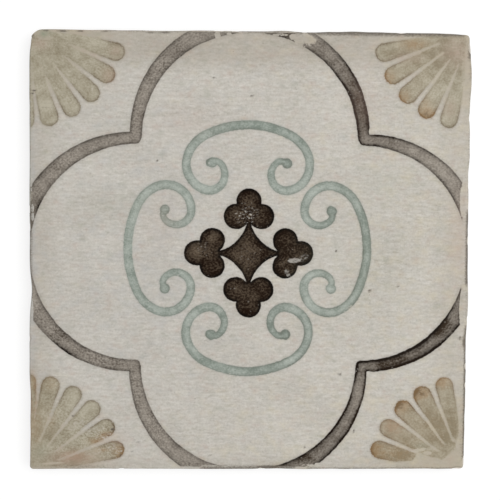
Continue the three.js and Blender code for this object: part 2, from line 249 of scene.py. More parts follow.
# Dark spots: specks of dirt, and darker places along the rim; less than 0 takes darkening away
DIRT_AND_RIM_DARK_SPOTS = [
    (-97.7, 72.4, 1.1, 0.5, 1.1), (-98.4, 71.1, 0.8, 0.5, 1), (98.6, -40.8, 0.9, 3.4, 0.55),
    (25.5, 98.9, 4.4, 0.9, -0.6), (-10.2, 98.9, 1.6, 0.9, -0.5), (-58.3, -93.3, 0.9, 0.5, 0.8),
    (-62.2, -81.4, 1.1, 0.42, 1.4), (-57.6, -88.6, 0.6, 1.2, 0.5), (-66, -83.6, 3.4, 0.5, 0.4),
    (-64.4, -79.6, 3.4, 0.4, 0.3), (-50.4, -87.4, 2.2, 0.5, 0.5), (-52.4, -86.6, 1.6, 0.4, 0.6),
    (-85, 99.1, 3.4, 0.5, 0.9), (-92.5, 99.2, 2.4, 0.5, 0.7), (-77, 99.2, 2.4, 0.5, 0.8),
    (-66, 99, 2, 0.5, 0.42), (-45.5, 98.8, 2.5, 0.5, 0.5), (-39, 98.9, 2.6, 0.5, 0.65),
    (-98.4, 96.6, 1.2, 2, 0.6), (98, -86, 0.5, 12, 0.3), (9, -98.7, 5, 0.6, 0.5),
    (55.2, -17.4, 0.75, 0.75, 1.3), (48.7, -82.2, 0.75, 0.7, 1.2), (-17.5, -93.4, 0.7, 0.6, 0.8),
    (0.4, 71, 0.8, 0.7, 1), (41.9, -56, 0.8, 0.7, 1.1), (39.4, 0.9, 0.7, 0.7, 0.9),
    (-42.4, 41.2, 0.8, 0.7, 0.9), (-16.8, 78.9, 0.9, 0.6, 0.9), (68.1, -15, 1.2, 0.6, 0.9),
    (26.2, -89.6, 0.8, 0.7, 0.9), (-53.2, -92, 0.8, 0.6, 0.75), (96.9, -39, 0.9, 0.8, 1),
    (-80.2, -75.4, 0.9, 0.6, 0.8), (-92, 64.9, 4.4, 0.3, 0.5), (-92, 66.8, 4, 0.3, 0.4),
    (-76, -98.6, 24, 1.2, 0.35), (97.6, 96.6, 1, 0.7, 0.4), (76.6, 92.6, 0.8, 0.6, 0.4),
]

# The most that overlapping stains, and overlapping dark spots with the darkening along the rim, can add up to
STAIN_MOST = 1.8
DIRT_AND_RIM_DARK_MOST = 1.5

# Flaked places, where the ground shows, and rubbed ones, where the colour is thin, each with its turn
FLAKED = [
    (24.4, 97.2, 6.2, 2.7, 1, -20), (25.8, 94.4, 2.6, 1.2, 0.6, -30), (-93.8, 98.4, 3.4, 1.3, 1, 0),
    (21.4, 95.4, 3, 1.9, 1, -35), (23.4, 93.6, 1.8, 0.9, 0.6, -40), (-15.4, 98, 1.7, 2.2, 1, 10),
    (18.7, 97.7, 1.9, 1.7, 1, 0), (97.4, 24.6, 1.8, 9.6, 1, 0), (97.8, -25.5, 1.6, 11, 1, 0),
    (-10.2, 98.7, 1.5, 0.8, 1, 0), (-99, 30, 0.8, 4, 0.7, 0), (-17, -98.6, 6, 0.9, 0.9, 0),
    (-98.8, -28, 1, 8, 0.9, 0), (32.4, -98.1, 2.3, 1.4, 1, -10), (-65.8, -49.4, 1.2, 0.7, 0.5, -50),
    (-67, -53.8, 1.3, 0.6, 0.7, -25), (82.8, -92.4, 2.6, 1.2, 0.9, 0), (-62, -91.4, 6.5, 3.4, 0.5, 5),
    (-66, -84.4, 7, 3.4, 0.5, 25), (-79, -79, 7, 3.2, 0.5, 35), (-88, -72, 4, 7, 0.3, 0),
    (13, 98.6, 5, 0.9, 0.75, 0), (-98.5, 19.4, 1, 2.2, 0.9, 0), (-98.5, 15.6, 1, 2.4, 0.85, 0),
    (-98.6, 11, 0.9, 1.6, 0.5, 0), (30, -98.2, 8, 0.9, 0.7, 0), (11, -98.4, 3, 0.5, 0.5, 0),
    (-34.5, -69, 1, 1, 0.6, 0), (-98.2, -49, 1, 3, 0.5, 0), (78.9, -91, 5, 1.1, 0.85, 10),
    (89, -97.4, 4, 2, 1, 0), (75.4, -97.6, 4.6, 1.6, 1, 25), (97.6, -89, 2, 3, 0.9, 0),
    (82, -95.6, 4, 1.8, 0.7, 0), (-60.6, -91.4, 3.6, 3.4, 0.42, 0), (-34, -67.6, 9, 4, 0.3, -30),
    (-0.3, 16.8, 6.4, 5.4, 0.46, 0), (-0.2, 17, 1.6, 1.3, 0.58, 0), (-5, 15.8, 2.6, 4.2, 0.5, 20),
    (49.6, -53.6, 1.2, 1.4, 0.5, 0), (41, -22, 4, 3, 0.4, 30), (33, -12.5, 3.5, 3, 0.38, 40),
    (-19.5, 31.2, 2, 1.2, 0.5, 0), (47.6, -41, 3, 2.6, 0.36, 0),
]
RUBBED = [
    (20.4, -3.6, 4, 1.5, 0.62, 4), (24.4, -2.4, 3.8, 2.2, 0.42, 20), (46.2, -25.3, 2.2, 2, 0.5, 0),
    (17.2, -9.4, 1.5, 2.4, 0.52, 25), (-1, -1, 7, 7, 0.24, 0), (-0.3, 17.8, 6, 4.4, 0.34, 0),
    (-22, 2, 5, 5, 0.28, 0), (-78.6, -79.6, 6.4, 2.6, 0.5, 25), (-71, -82, 6, 2.4, 0.46, 20),
    (-65.9, -84.9, 2.4, 1, 0.5, 15), (-70.6, -92, 5.4, 3.2, 0.48, 10), (-62, -90.4, 4.4, 3, 0.4, 0),
    (-92.4, 96, 4.6, 1.1, 0.8, 0), (-90.4, -75.4, 3, 3, 0.45, 0), (-89.4, -97.2, 6.4, 0.7, 1, 4),
    (96, 93, 7, 10, 0.45, 0), (98, 82, 3, 16, 0.6, 0), (-80, 99.6, 18, 2.2, 1, -3),
    (-96, 99, 7, 2.6, 0.75, 0), (-98.6, 78, 1.2, 10, 0.55, 0), (-98.8, -70, 0.9, 6, 0.6, 0),
    (84, -90.6, 4, 1.6, 0.5, 15), (96.4, 9, 4, 6, 0.35, 0), (-58.4, 73, 2.4, 1.4, 0.35, 40),
    (69, 98.6, 11, 1.2, 0.5, 4), (-65.4, -50.4, 3.4, 2.2, 0.36, -50), (-20, 56, 3, 1.5, 0.2, 0),
    (-37, 0, 3, 6, 0.2, 0),
]

# A flaked or rubbed place is full out to this share of its reach and fades over this share
PATCH_FULL = 0.55
PATCH_FADE = 0.65

# Where the colour has run out past its outline, or drawn back from it when less than 0
RUN = [
    (-85.5, 95, 5, 2.2, 0.6), (-90.5, 88, 2.4, 3, 0.4), (-93, 80, 2, 3.4, 0.4), (92.6, 86, 3, 4, 0.4),
    (88, -96.2, 3.4, 2.6, -1.6), (74.6, -97.2, 4.6, 2, -1.8), (96.6, -88, 2.4, 3.4, -1.6),
    (-78, -80, 5, 2, -0.5), (-62.8, 97, 4, 2, -0.3), (70.6, -93, 5, 1.6, 0.5), (-90.6, 88.6, 9, 9, 0.75),
    (49.4, 49.6, 1.6, 1.6, -0.75), (49.4, -50, 1.5, 1.5, -0.4), (54.8, -60, 1.5, 5, -0.35),
    (54.4, 55.2, 1.6, 1.6, -0.5), (54.8, -55.2, 1.6, 1.6, -0.4), (-5, -7, 3, 2.5, 0.22),
    (10.5, -8.3, 3, 2.6, 0.25), (-49.4, 49.6, 1.7, 1.7, -0.9), (-49.4, -50.2, 1.7, 1.7, -0.5),
]

# Where the print has slipped: x, y, reach in x, reach in y, and how far right and up
SLIPS = [
    (-36, 78, 20, 24, -0.3, 0.2), (82, 37, 20, 13, 0.16, 0.25), (48.4, 59, 6, 8, -0.4, 0),
    (-72, -43, 14, 9, -0.1, -0.2), (74, -44, 16, 10, 0.1, -0.18), (-82, 82, 24, 24, -0.22, 0.22),
    (80, 80, 24, 24, 0.14, 0.08), (0, 44, 38, 20, -0.14, 0.08), (0, -44, 38, 20, 0.14, 0.08),
]

# Share of the pooling below that the fans take
FAN_INK = 0.15

# Where the colour has pooled more strongly along its edges, or less
INKY = [
    (-17.3, 40.7, 3.4, 3.4, 0.1), (16.8, 40.4, 3.4, 3.4, 0.45), (-38.7, 19.2, 3.4, 3.4, 0.4),
    (37.3, 18.8, 3.4, 3.4, 0.45), (-18, -38.4, 3, 3, 0.45), (16.5, -37.7, 3.4, 3.4, 0.45),
    (-38.6, -16.7, 3.4, 3.4, 0.3), (64, 50, 7, 4, -0.35), (50, 68, 10, 16, 0.3), (78, -44, 16, 8, 0.35),
    (40, -84, 12, 10, 0.2), (54, 55, 4, 4, -0.4), (57, -54, 3, 3.5, -0.7), (49.7, -52.5, 2.5, 2.5, 0.4),
    (50, -62, 5, 9, -0.65), (-82, -45.5, 9, 4, 0.7), (-94.6, 21.3, 3, 3, 0.4), (-94, 33, 3, 3, 0.6),
    (45.5, 70, 3, 6, 0.4), (84, -38, 16, 9, 0.4), (-19.3, 41.4, 1.6, 2.4, 0.5), (62, -62, 46, 46, 0.95),
    (56, 66, 30, 34, 0.75), (90, 30, 12, 14, 0.25), (20, -92, 14, 8, 0.3), (-56, 0, 10, 30, -0.35),
    (54, 0, 12, 40, 0.15), (-60, 56, 30, 30, 0.12),
]

# Petals whose tips have a stronger dark edge
FAN_TIPS = [
    (69.4, -70.6, 3.6, 3.6, 0.9), (77.4, -64.4, 3.8, 3, 0.8), (80, 64, 4.4, 3.4, 0.7),
    (69.4, 70.6, 3.6, 3.4, 0.4), (62.4, 80, 3.4, 4, 0.5), (57, -91.4, 4, 4.4, 0.3),
    (-59, -91.2, 3.6, 4.4, 0.6), (-62, -82, 3.4, 3.8, 0.4), (-59.8, 90.4, 3.6, 4, 0.3),
    (-62.6, 79.6, 3.6, 4, 0.35),
]

# Roots of the petals: full this near the corner, faded over this width, and how far in their pooling moves
ROOT_FULL = 15
ROOT_FADE = 24
ROOT_EASE = 3

# Where each kind of print is darker, or paler when less than 0
BAND_SHADE = [
    (54, 57, 8, 8, 0.3), (52, 67, 8, 8, 0.3), (47, 76, 8, 7, 0.3), (38, 85, 8, 6, 0.2), (30, 92, 6, 5, 0.2),
    (60, -60, 44, 44, 0.3), (57, -52, 5, 4, -0.2), (69, -49.5, 4, 3, 0.1), (66, -50, 10, 7, 0.3),
    (88, -34, 10, 9, 0.3), (80, -43, 8, 6, 0.06), (36, -88, 8, 7, 0.1), (24, -94, 10, 5, 0.3),
    (66, 51, 6, 4, 0.16), (86, 37, 9, 8, -0.1), (-44, 80, 7, 7, 0.1), (-32, 90, 8, 5, 0.22),
    (-52, 60, 5, 12, 0.05), (-66, 50, 8, 4, 0.08), (-96, 18, 5, 8, 0.3), (-88, 33, 6, 6, 0.05),
    (-62, -51, 8, 5, 0.12), (-92, -30, 7, 7, 0.1), (-82, -40, 6, 5, 0.1), (-98, -16, 4, 8, -0.15),
    (30, 92.5, 4, 3, 0.02), (16, 98.5, 9, 2, 0.5), (51, -68, 5, 9, -0.08), (96, -20, 6, 8, 0.25),
    (50, 66, 8, 14, 0.12), (50, -64, 5, 9, -0.2), (89, -34.5, 6, 5, 0.08), (-94.6, 21.3, 3, 3, 0.2),
    (60, -51, 5, 4, 0.14), (75, -45, 7, 6, 0.05), (26, -94, 6, 4, 0.15), (89.5, -32.2, 2.6, 2.6, 0.5),
    (85.6, -36.2, 3, 2.4, 0.5), (88, -39.6, 5, 3.4, -0.08), (-87.8, -41.4, 3, 3, 0.2),
    (45.4, 70.1, 3, 4, 0.2), (-49.2, -52.3, 2.5, 2.5, 0.3), (49, -74.5, 3, 3, -0.15),
    (-84.7, -37.3, 3, 3, 0.25), (53.4, 53.8, 3, 3, -0.25), (16, -98, 4, 2, 0.3), (34, -89, 6, 5, 0.06),
    (24, -95, 7, 4, 0.1),
]
CROSS_SHADE = [
    (0, 24.2, 3.6, 3.6, -0.2), (-6.1, 16.4, 3.4, 3.4, -0.3), (6.1, 16.4, 3.4, 3.4, -0.1),
    (-24.4, 1, 5, 4.4, -0.5), (-16.6, 6.6, 3.2, 3.2, -0.4), (24.2, 0, 3.6, 3.6, -0.1),
    (16.4, 6.4, 3.2, 3.2, -0.1), (16.6, -6, 3.2, 3.2, -0.15), (-6.2, -16.4, 3.2, 3.2, -0.1),
    (-2, 0, 8, 8, -0.35), (-17, 0, 4, 4, -0.15), (18, 1, 5, 7, 0.05), (17, 11, 5, 3, 0.4),
    (10, 4.6, 5, 3, 0.3), (13, -11, 4, 3, 0.3), (5, 5, 3, 3, 0.3), (-2, -20, 6, 7, -0.15),
    (9.8, 17.6, 3, 4, 0.2), (11.9, 8, 2, 2, 0.4), (-12, -11, 3, 3, 0.2), (0, 28, 5, 2, 0.2),
    (0, -28.4, 5, 2, 0.25), (27.6, 0, 2, 5, 0.2), (10, -18, 3, 4, 0.2),
]
SCROLL_SHADE = [
    (-20, 31.6, 5, 3, -0.35), (-34, 50, 6, 5, 0.2), (0, 56.5, 22, 4, 0.42), (26, 52, 7, 5, 0.25),
    (-33.4, -6, 4, 5, 0.2), (-48, 25, 6, 6, -0.08), (46, 28, 6, 5, 0.12), (52, 8, 5, 14, 0.36),
    (38, -28, 6, 4, -0.15), (29, -24, 4, 6, -0.42), (28, -14, 5, 5, -0.2), (-22, -51, 12, 5, 0.2),
    (6, -53.5, 14, 4, 0.34), (28, -44, 8, 6, 0.2), (36, -30, 5, 5, 0.1), (-55, -4, 4, 12, 0.16),
    (-17.4, -37.9, 4, 4, 0.32), (16.5, -37.7, 4, 4, 0.36), (37.3, 18.8, 4, 4, 0.3), (16.8, 40.4, 4, 4, 0.3),
    (-38.6, -16.7, 4, 4, 0.05), (37.3, -16.5, 4, 4, -0.25), (-19.6, 41.4, 2.4, 2.6, 0.25),
    (-11.6, -33, 5, 7, 0.36), (11, -32.6, 5, 8, 0.38), (24.5, -29, 5, 4, 0.22), (-51, -17, 5, 6, 0.25),
    (33.4, 12.4, 4, 4, 0.36), (51, -14, 5, 7, 0.18), (10.2, 36, 4, 5, 0.16), (20, -48.6, 4, 4, -0.15),
    (-29, 26, 5, 4, -0.14), (28, 26.5, 5, 4, -0.12), (11.6, 29.6, 5, 3, -0.14), (23.7, 30.4, 4, 4, -0.14),
    (-34.6, 12.4, 4, 3, 0.12),
]
FAN_SHADE = [
    (-86, 90, 11, 10, 0.18), (-90, 67, 4, 5, -0.25), (90, 90, 13, 12, 0.5), (-73, 95, 8, 4, -0.2),
    (-96.5, 64, 5, 7, -0.3), (-63, 90.7, 4, 4, 0.2), (-64.5, 80, 4, 5, 0.15), (-81, 65, 5, 5, -0.1),
    (56.9, -91.2, 7, 5, 0.6), (72, -93, 8, 4, 0.62), (84, -78, 6, 9, 0.42), (94, -76, 4, 10, 0.4),
    (91, -85, 7, 9, 0.55), (-90, -66, 5, 6, 0.2), (-90, -84, 7, 5, 0.4), (-80, -70, 5, 5, -0.2),
    (-76, -73, 5, 5, -0.2), (-64, -84, 5, 5, 0.35), (-60, -91, 6, 4, 0.35), (-97, -70, 4, 12, 0.25),
    (62, 92, 6, 5, 0.3), (74, 92, 10, 4, 0.28), (75, 84, 6, 6, 0.15), (66, -82, 7, 5, 0.12),
    (-80, -95.5, 9, 4, 0.6), (-93, -96.5, 8, 3, 0.2), (-72, -81.6, 5, 3, 0.15), (73, -86, 7, 7, 0.2),
    (71, 73, 5, 6, 0.18), (82, 72, 5, 6, -0.2), (72, -73, 5, 5, 0.15), (79, -66, 5, 4, 0.15),
]

# Where the printed colours are worn to a coarse mottle
WEATHERED = [
    (-60.5, -91, 7, 4.5, 1.6), (-66, -84, 9, 5, 1.2), (-78, -80, 11, 8, 0.5), (-88, -68, 8, 12, 0.35),
    (-84, -92, 12, 6, 0.4), (-66, 84, 8, 12, 0.35), (-82, 72, 12, 12, 0.15), (-92, 95, 10, 7, 0.2),
    (-86, -38, 12, 10, 0.25), (-68, -48, 12, 6, 0.35), (-54, -62, 6, 12, 0.3), (-42, -80, 8, 10, 0.25),
    (-84, 40, 12, 8, 0.2), (-54, 62, 6, 12, 0.2), (-40, 82, 10, 8, 0.2), (72, -92, 12, 5, 0.5),
    (76, -76, 14, 12, 0.1), (76, 76, 16, 16, 0.2), (0, 12, 8, 8, 0.3),
]

# Middles of the balls that end the scrolls, and how far the colour reaches round them
BALLS = [
    (-17.3, 40.7), (16.8, 40.4), (-38.7, 19.2), (37.3, 18.8),
    (-38.6, -16.7), (37.3, -16.5), (-17.4, -37.9), (16.5, -37.7),
]
BALL_REACH = 2.4

# How each colour is printed: its material's name, its unevenness, its edges and wear, its pooling and sheen
LOOKS = {
    "band": (
        "Grey band",
        {"Cloud": 0.8, "Grain": 1.2, "Shade": 0.34, "Lines": 0.05},
        {"Spread": -0.08, "Ragged": 0.5, "Bleed": 0.12, "Pool Width": 1.0, "Pits": 0.25},
        0.46,
        0.04,
    ),
    "scroll": (
        "Grey-green scroll",
        {"Cloud": 1.5, "Grain": 1.3, "Shade": 0.46, "Lines": 0.06},
        {"Spread": 0.0, "Ragged": 0.7, "Bleed": 0.2, "Pool Width": 0.85, "Pits": 0.4},
        0.5,
        0.3,
    ),
    "cross": (
        "Brown cross",
        {"Cloud": 1.15, "Grain": 1.9, "Shade": 0.86, "Lines": 0.06},
        {"Spread": 0.02, "Ragged": 0.4, "Bleed": 0.08, "Pool Width": 1.4, "Pits": 0.2},
        0.9,
        0.03,
    ),
    "fan": (
        "Khaki fan",
        {"Cloud": 1.45, "Grain": 1.15, "Shade": 0.4, "Lines": 0.05},
        {"Spread": 0.0, "Ragged": 1.15, "Bleed": 0.36, "Pool Width": 0.8, "Pits": 0.45},
        0.6,
        0.3,
    ),
}

# Share of each pale or dark mark in the level of the ground's colour
GRAIN_SHARE = 0.68
DUST_SHARE = 0.42
STREAK_SHARE = 0.36
CLOUD_SHARE = 0.42
STROKE_SHARE = 0.22
SCUFF_SHARE = 0.6

# How strongly each tint hides the ground under it
FLECK_TINT = 0.2
SIDE_DARK_TINT = 0.4
ROSE_TINT = 0.45
MOSS_TINT = 0.4
CREAM_TINT = 0.28
COOL_TINT = 0.28
SPECK_TINT = 0.6

# Soft steps of the ground's marks: the noise at which each starts and the noise at which it is full
PALE_STROKE = (0.1, 0.3)
DARK_STROKE = (-0.12, -0.3)
SCRATCH = (0.02, 0.2)
FLECK = (-0.1, -0.26)
PINK_FULL = 0.35
WARMTH_FULL = 0.4

# Specks in the ground: how far apart they lie, the most that they measure as a share of that, and their edge
DARK_SPECKS = (6.1, 0.035)
PALE_SPECKS = (4.7, 0.09)
SPECK_EDGE = (-0.02, 0.03)

# How strongly each stain, and the dirt with the darkening along the rim, hides the colour under it
WARM_STAIN = 0.8
FAINT_STAIN = 0.7
DIRT_AND_RIM_DARK_HIDING = 0.9

# Soft steps of the stains, the dirt and the darkening along the rim: where each starts and is full, and for
# their patches also the shares there
PATCHES = (-0.2, 0.16, 0.5, 1.0)
UMBER = (0.4, 0.95)
DIRT_AND_RIM_DARK_STEP = (0.1, 0.85)
DARKEST_STEP = (0.95, 1.3)
WARM_IN_POOLS = (0.0, 1.0, 0.9, 1.15)

# Print: how its sharp edge and its bled one fade along the distance from the outline
SHARP_EDGE = (0.14, -0.24)
BLED_EDGE = (1.0, -0.1)

# Print: where its broad and its narrow line of pooling start, and where both are full, in pool widths
BROAD_LINE = -2.6
NARROW_LINE = -1.15
LINE_FULL = -0.4

# Print: how much wider and how much darker it pools where it is inky or dark
INKY_WIDTH = 0.42
SHADE_POOLING = 0.35

# Print: share of its narrow, dark line of pooling in the whole, and how much noise varies the pooling
NARROW_POOLING = 0.55
SLOW_POOLING = (1.6, 0.95)
ROUGH_POOLING = (1.2, 1.0)

# Print: how far flakes follow their places and where they start and are full
FLAKE_HOLD = 0.75
FLAKE = (0.4, 0.56)

# Print: how far rubbing follows the flakes, where it starts and is full, and how much it takes off
RUB_HOLD = 1.4
RUB = (0.3, 0.68)
RUB_LOSS = (0.82, 0.12)

# Print: how much more its grain shows where it is weathered
WORN_GRAIN = 2.8

# Print: how far apart its pits lie across and up, the spread of their sizes, what is cut off, and the edge
PIT_CELLS = (1.7, 1.5)
PIT_SPREAD = 0.7
PIT_CUT = 0.42
PIT_EDGE = (0.12, -0.08)

# Print: fine lines that follow its outline, by how close they lie, how wavy they are and where they begin
LINE_TURNS = 4.4
LINE_WAVES = 9.0
LINE_FADE = (-0.5, -1.6)

# Bump of the ground's grain and of the clay's, and the sheen of what isn't printed
GROUND_BUMP = 0.06
CLAY_BUMP = 0.12
SHEEN = 0.3

# Mean roughness of each material, and how much the coated ones vary either way
GROUND_ROUGHNESS = 0.62
PRINT_ROUGHNESS = 0.58
CLAY_ROUGHNESS = 0.85
FLOOR_ROUGHNESS = 0.9
ROUGHNESS_SPREAD = 0.08

# How much the grain's height varies either way for that
GROUND_HEIGHTS = 0.2
PRINT_HEIGHTS = 0.3

# Clay: share of its fine and of its cloudy marks, where they start and are full, and how dark they make it
CLAY_FINE = 0.6
CLAY_CLOUD = 0.4
CLAY_MARK = (0.12, -0.14)
CLAY_DARK = 0.62

# Slip on the clay: its drips, where it starts and is full, how much it hides, and how the ribs are wiped
SLIP_DRIPS = 6.0
SLIP_START = 7.2
SLIP_FULL = 9.2
SLIP_COVER = 0.8
RIB_WIPE = 0.5
RIB_GRAIN = (-0.08, 0.08)

# Camera: where it stands over the face, how far it leans, and its lens on a sensor of this width
CAMERA_PLACE = (-28.47, 45.01, 700.0)
CAMERA_LEAN = (-3.661, -2.339, 0.492)
CAMERA_LENS = 109.38
CAMERA_SENSOR = 36
CAMERA_CLIP = (10, 20000)

# Floor: half its side, how far under the tile it lies, its grey and how bright the camera sees it
FLOOR_REACH = 3000.0
FLOOR_GAP = 0.05
FLOOR_GREY = 0.3
FLOOR_GLOW = 0.76

# Light: the room's brightness on the tile, how much more is seen and mirrored, and the round lamp
ROOM_GLOW = 0.5
ROOM_SEEN = 0.5
LAMP_SIZE = 1200
LAMP_WATTS = 10.2
LAMP_PLACE = (500, 200, 1150)

# Kinds of socket on the node groups
FLOAT = "NodeSocketFloat"
COLOUR = "NodeSocketColor"
VECTOR = "NodeSocketVector"


def from_screen(red, green, blue):
    """The linear colour of a screen colour of 0 to 255."""
    shares = [value / 255 for value in (red, green, blue)]
    return [share / 12.92 if share < 0.04045 else ((share + 0.055) / 1.055) ** 2.4 for share in shares]


def colour_property(name, description, screen):
    return FloatVectorProperty(
        name=name, description=description, default=from_screen(*screen), min=0, max=1, subtype="COLOR"
    )


def length_property(name, description, millimetres):
    return FloatProperty(name=name, description=description, default=millimetres * MM, min=0, unit="LENGTH")


class TileSizes(bpy.types.PropertyGroup):
    """Sizes of the tile's hand-made unevenness."""

    film: length_property("Colour film", "Thickness of a printed colour above the ground coat", 0.1)
    swell: length_property("Face swell", "Height of the slow waves in the face", 0.05)
    wave: length_property("Edge wave", "How far the tile's outline wanders in and out", 0.16)
    wobble: length_property("Print wobble", "How far the outline of a printed colour wanders", 0.12)
    roughness: length_property("Side roughness", "Depth of the unevenness of the unglazed sides", 0.09)


class TileColours(bpy.types.PropertyGroup):
    """Colours of the clay, the ground and the print."""

    clay: colour_property("Clay", "Fired clay of the slab", (176, 158, 136))
    slip: colour_property("Slip", "Pale wash on the ribs and under the rim", (205, 199, 188))
    ground_pale: colour_property("Pale ground", "Light streaks of the ground", (219, 215, 207))
    ground_dark: colour_property("Dark ground", "Dusty streaks of the ground", (162, 156, 145))
    band: colour_property("Band", "Thin print of the quatrefoil band", (168, 160, 149))
    band_dark: colour_property("Dark band", "Thick print of the band", (56, 45, 34))
    band_edge: colour_property("Band edge", "Colour pooled along the band's edges", (22, 14, 9))
    scroll: colour_property("Scroll", "Thin print of the four scrolls", (178, 184, 175))
    scroll_dark: colour_property("Dark scroll", "Thick print of the scrolls", (120, 130, 120))
    scroll_edge: colour_property("Scroll edge", "Colour pooled along the scrolls' edges", (106, 112, 102))
    cross: colour_property("Cross", "Thin print of the trefoil cross", (104, 91, 76))
    cross_dark: colour_property("Dark cross", "Thick print of the cross", (29, 16, 7))
    cross_edge: colour_property("Cross edge", "Colour pooled along the cross's edges", (9, 5, 3))
    fan: colour_property("Fan", "Thin print of the corner fans", (180, 173, 154))
    fan_dark: colour_property("Dark fan", "Thick print of the petals", (132, 122, 99))
    fan_edge: colour_property("Fan edge", "Colour pooled along the petals' edges", (96, 82, 60))
    haze: colour_property("Haze", "Thin khaki bloom between the petals", (173, 162, 142))
    ochre: colour_property("Ochre", "Warm stains", (154, 112, 60))
    umber: colour_property("Umber", "The strongest of the warm stains", (112, 86, 52))
    rose: colour_property("Rose", "Pinkish stains", (178, 154, 140))
    moss: colour_property("Moss", "Grey-green stains", (138, 142, 122))
    # The next two: dark colour of the dirt specks and of the darkening along the rim, and the darkest of it
    dirt_and_rim_dark: colour_property("Grime", "Dirt along the rim", (88, 80, 70))
    darkest_dirt_and_rim: colour_property("Soot", "The darkest specks of dirt", (50, 40, 28))
    # Colour of the ground where it is darker towards the sides
    side_dark: colour_property("Darker ground", "Ground that has darkened towards the sides", (150, 138, 120))
    cream: colour_property("Cream", "Creamy places in the ground", (206, 192, 156))
    cool: colour_property("Cool grey", "Cool places in the ground", (170, 174, 178))


def sizes():
    return bpy.context.scene.tile_sizes


def colours():
    return bpy.context.scene.tile_colours


def deselect_all():
    if bpy.context.object and bpy.context.object.mode != "OBJECT":
        bpy.ops.object.mode_set(mode="OBJECT")
    bpy.ops.object.select_all(action="DESELECT")


def places_of(piece):
    """A piece's vertices in millimetres, one row each."""
    flat = np.empty(len(piece.data.vertices) * 3)
    piece.data.vertices.foreach_get("co", flat)
    return flat.reshape(-1, 3) / MM


def set_places(piece, places):
    piece.data.vertices.foreach_set("co", (places * MM).ravel())
    piece.data.update()


def set_values(piece, name, values):
    """Keeps a number for each vertex, for the materials to read."""
    attribute = piece.data.attributes.new(name, "FLOAT", "POINT")
    attribute.data.foreach_set("value", np.ascontiguousarray(values, dtype=np.float32))


def ripple(x, y, length, seed):
    """A smooth random swell of about -1 to 1, made of straight waves."""
    random = np.random.default_rng(seed)
    total = np.zeros_like(x)
    for _ in range(WAVES):
        heading = random.uniform(0, 2 * math.pi)
        phase = random.uniform(0, 2 * math.pi)
        reach = length * random.uniform(*WAVE_LENGTHS)
        total += np.sin(2 * math.pi * (x * math.cos(heading) + y * math.sin(heading)) / reach + phase)
    return total / (WAVES / 2)


def ripples(x, y, *rows):
    """Ripples added up, each given by its height or share, its length and its seed."""
    return sum(share * ripple(x, y, length, seed) for share, length, seed in rows)


def smooth(value):
    """0 below 0 and 1 above 1, with a soft step between."""
    share = np.clip(value, 0, 1)
    return share * share * (3 - 2 * share)


def face_height(x, y):
    """Height of the ground coat's face, with its slow swell."""
    return FACE + sizes().swell / MM * (ripples(x, y, *FACE_RIPPLES) - 1)


def edge_wave(along, side):
    """How far the outline wanders inwards at a place along a side."""
    wander = np.zeros_like(along)
    for seed, (share, length, row) in enumerate(EDGE_RIPPLES, SIDES[side][2]):
        wander += share * ripple(along, np.full_like(along, row), length, seed)
    inwards = sizes().wave / MM * (wander + 1)
    for swollen, place, reach, out in SWELLS:
        if swollen == side:
            inwards -= out * np.exp(-FALL_OFF * ((along - place) / reach) ** 2)
    return inwards


def corner_offsets(x, y):
    """For each corner: its sides, its radius, and how far points are past its arc's middle in x and in y."""
    for (side_x, side_y), radius in CORNER_RADII.items():
        middle = HALF_SIDE - radius
        yield (side_x, side_y), radius, x * side_x - middle, y * side_y - middle


def rim_distance(x, y):
    """How far a point is inside the tile's outline."""
    inside = HALF_SIDE - np.maximum(np.abs(x), np.abs(y))
    for _, radius, across, up in corner_offsets(x, y):
        inside = np.where((across > 0) & (up > 0), radius - np.hypot(across, up), inside)
    return inside


def draw_to_corner(places, sides, radius, shift, chosen, shrink):
    """Moves the chosen vertices towards the middle of a corner's arc."""
    for axis in (0, 1):
        moved = sides[axis] * (HALF_SIDE - radius + shift[axis] * shrink)
        places[:, axis] = np.where(chosen, moved, places[:, axis])


def round_corners(places):
    """Bends the square corners of a grid's rings into arcs."""
    for sides, radius, across, up in corner_offsets(*places[:, :2].T):
        away = np.maximum(np.hypot(across, up), TINY)
        corner = (across > 0) & (up > 0)
        draw_to_corner(places, sides, radius, (across, up), corner, np.maximum(across, up) / away)


def side_distance(x, y, side):
    """How far each point is in from a side, and where it is along it."""
    axis, sign, _ = SIDES[side]
    return HALF_SIDE - sign * (y if axis else x), x if axis else y


def wave_outline(places):
    """Lets the outline wander: vertices near a side follow it inwards."""
    shifts = np.zeros((len(places), 2))
    for side, (axis, sign, _) in SIDES.items():
        inside, along = side_distance(places[:, 0], places[:, 1], side)
        shifts[:, axis] -= sign * (1 - smooth(inside / WANDER_REACH)) * edge_wave(along, side)
    places[:, :2] += shifts


def chip_depth(x, y):
    """Depth of the chips in the coat's rim at each point, measured in from the side."""
    depth = np.zeros_like(x)
    for side, place, length, bite in CHIPS:
        inside, along = side_distance(x, y, side)
        share = np.clip(1 - ((along - place) / (length / 2)) ** 2, 0, 1)
        depth = np.where(inside < CHIP_ZONE, np.maximum(depth, bite * np.sqrt(share)), depth)
    return depth


def even_places(start, end, step):
    """Places from start to end, no further apart than a step, without the end."""
    count = max(1, math.ceil(abs(end - start) / step))
    return [start + (end - start) * i / count for i in range(count)]


def add_grid(name, columns, rows):
    """A flat grid and the places of its vertices, which run from -1 to 1 both ways."""
    deselect_all()
    bpy.ops.mesh.primitive_grid_add(x_subdivisions=columns, y_subdivisions=rows, size=2)
    piece = bpy.context.object
    piece.name = name
    piece.data.name = name
    return piece, places_of(piece) * MM


def add_sheet(name, lines):
    """A flat grid whose lines lie at the given places, both ways."""
    count = len(lines) - 1
    piece, places = add_grid(name, count, count)
    index = np.rint((places[:, :2] + 1) / 2 * count).astype(int)
    places[:, :2] = np.array(lines)[index]
    set_places(piece, places)
    return piece


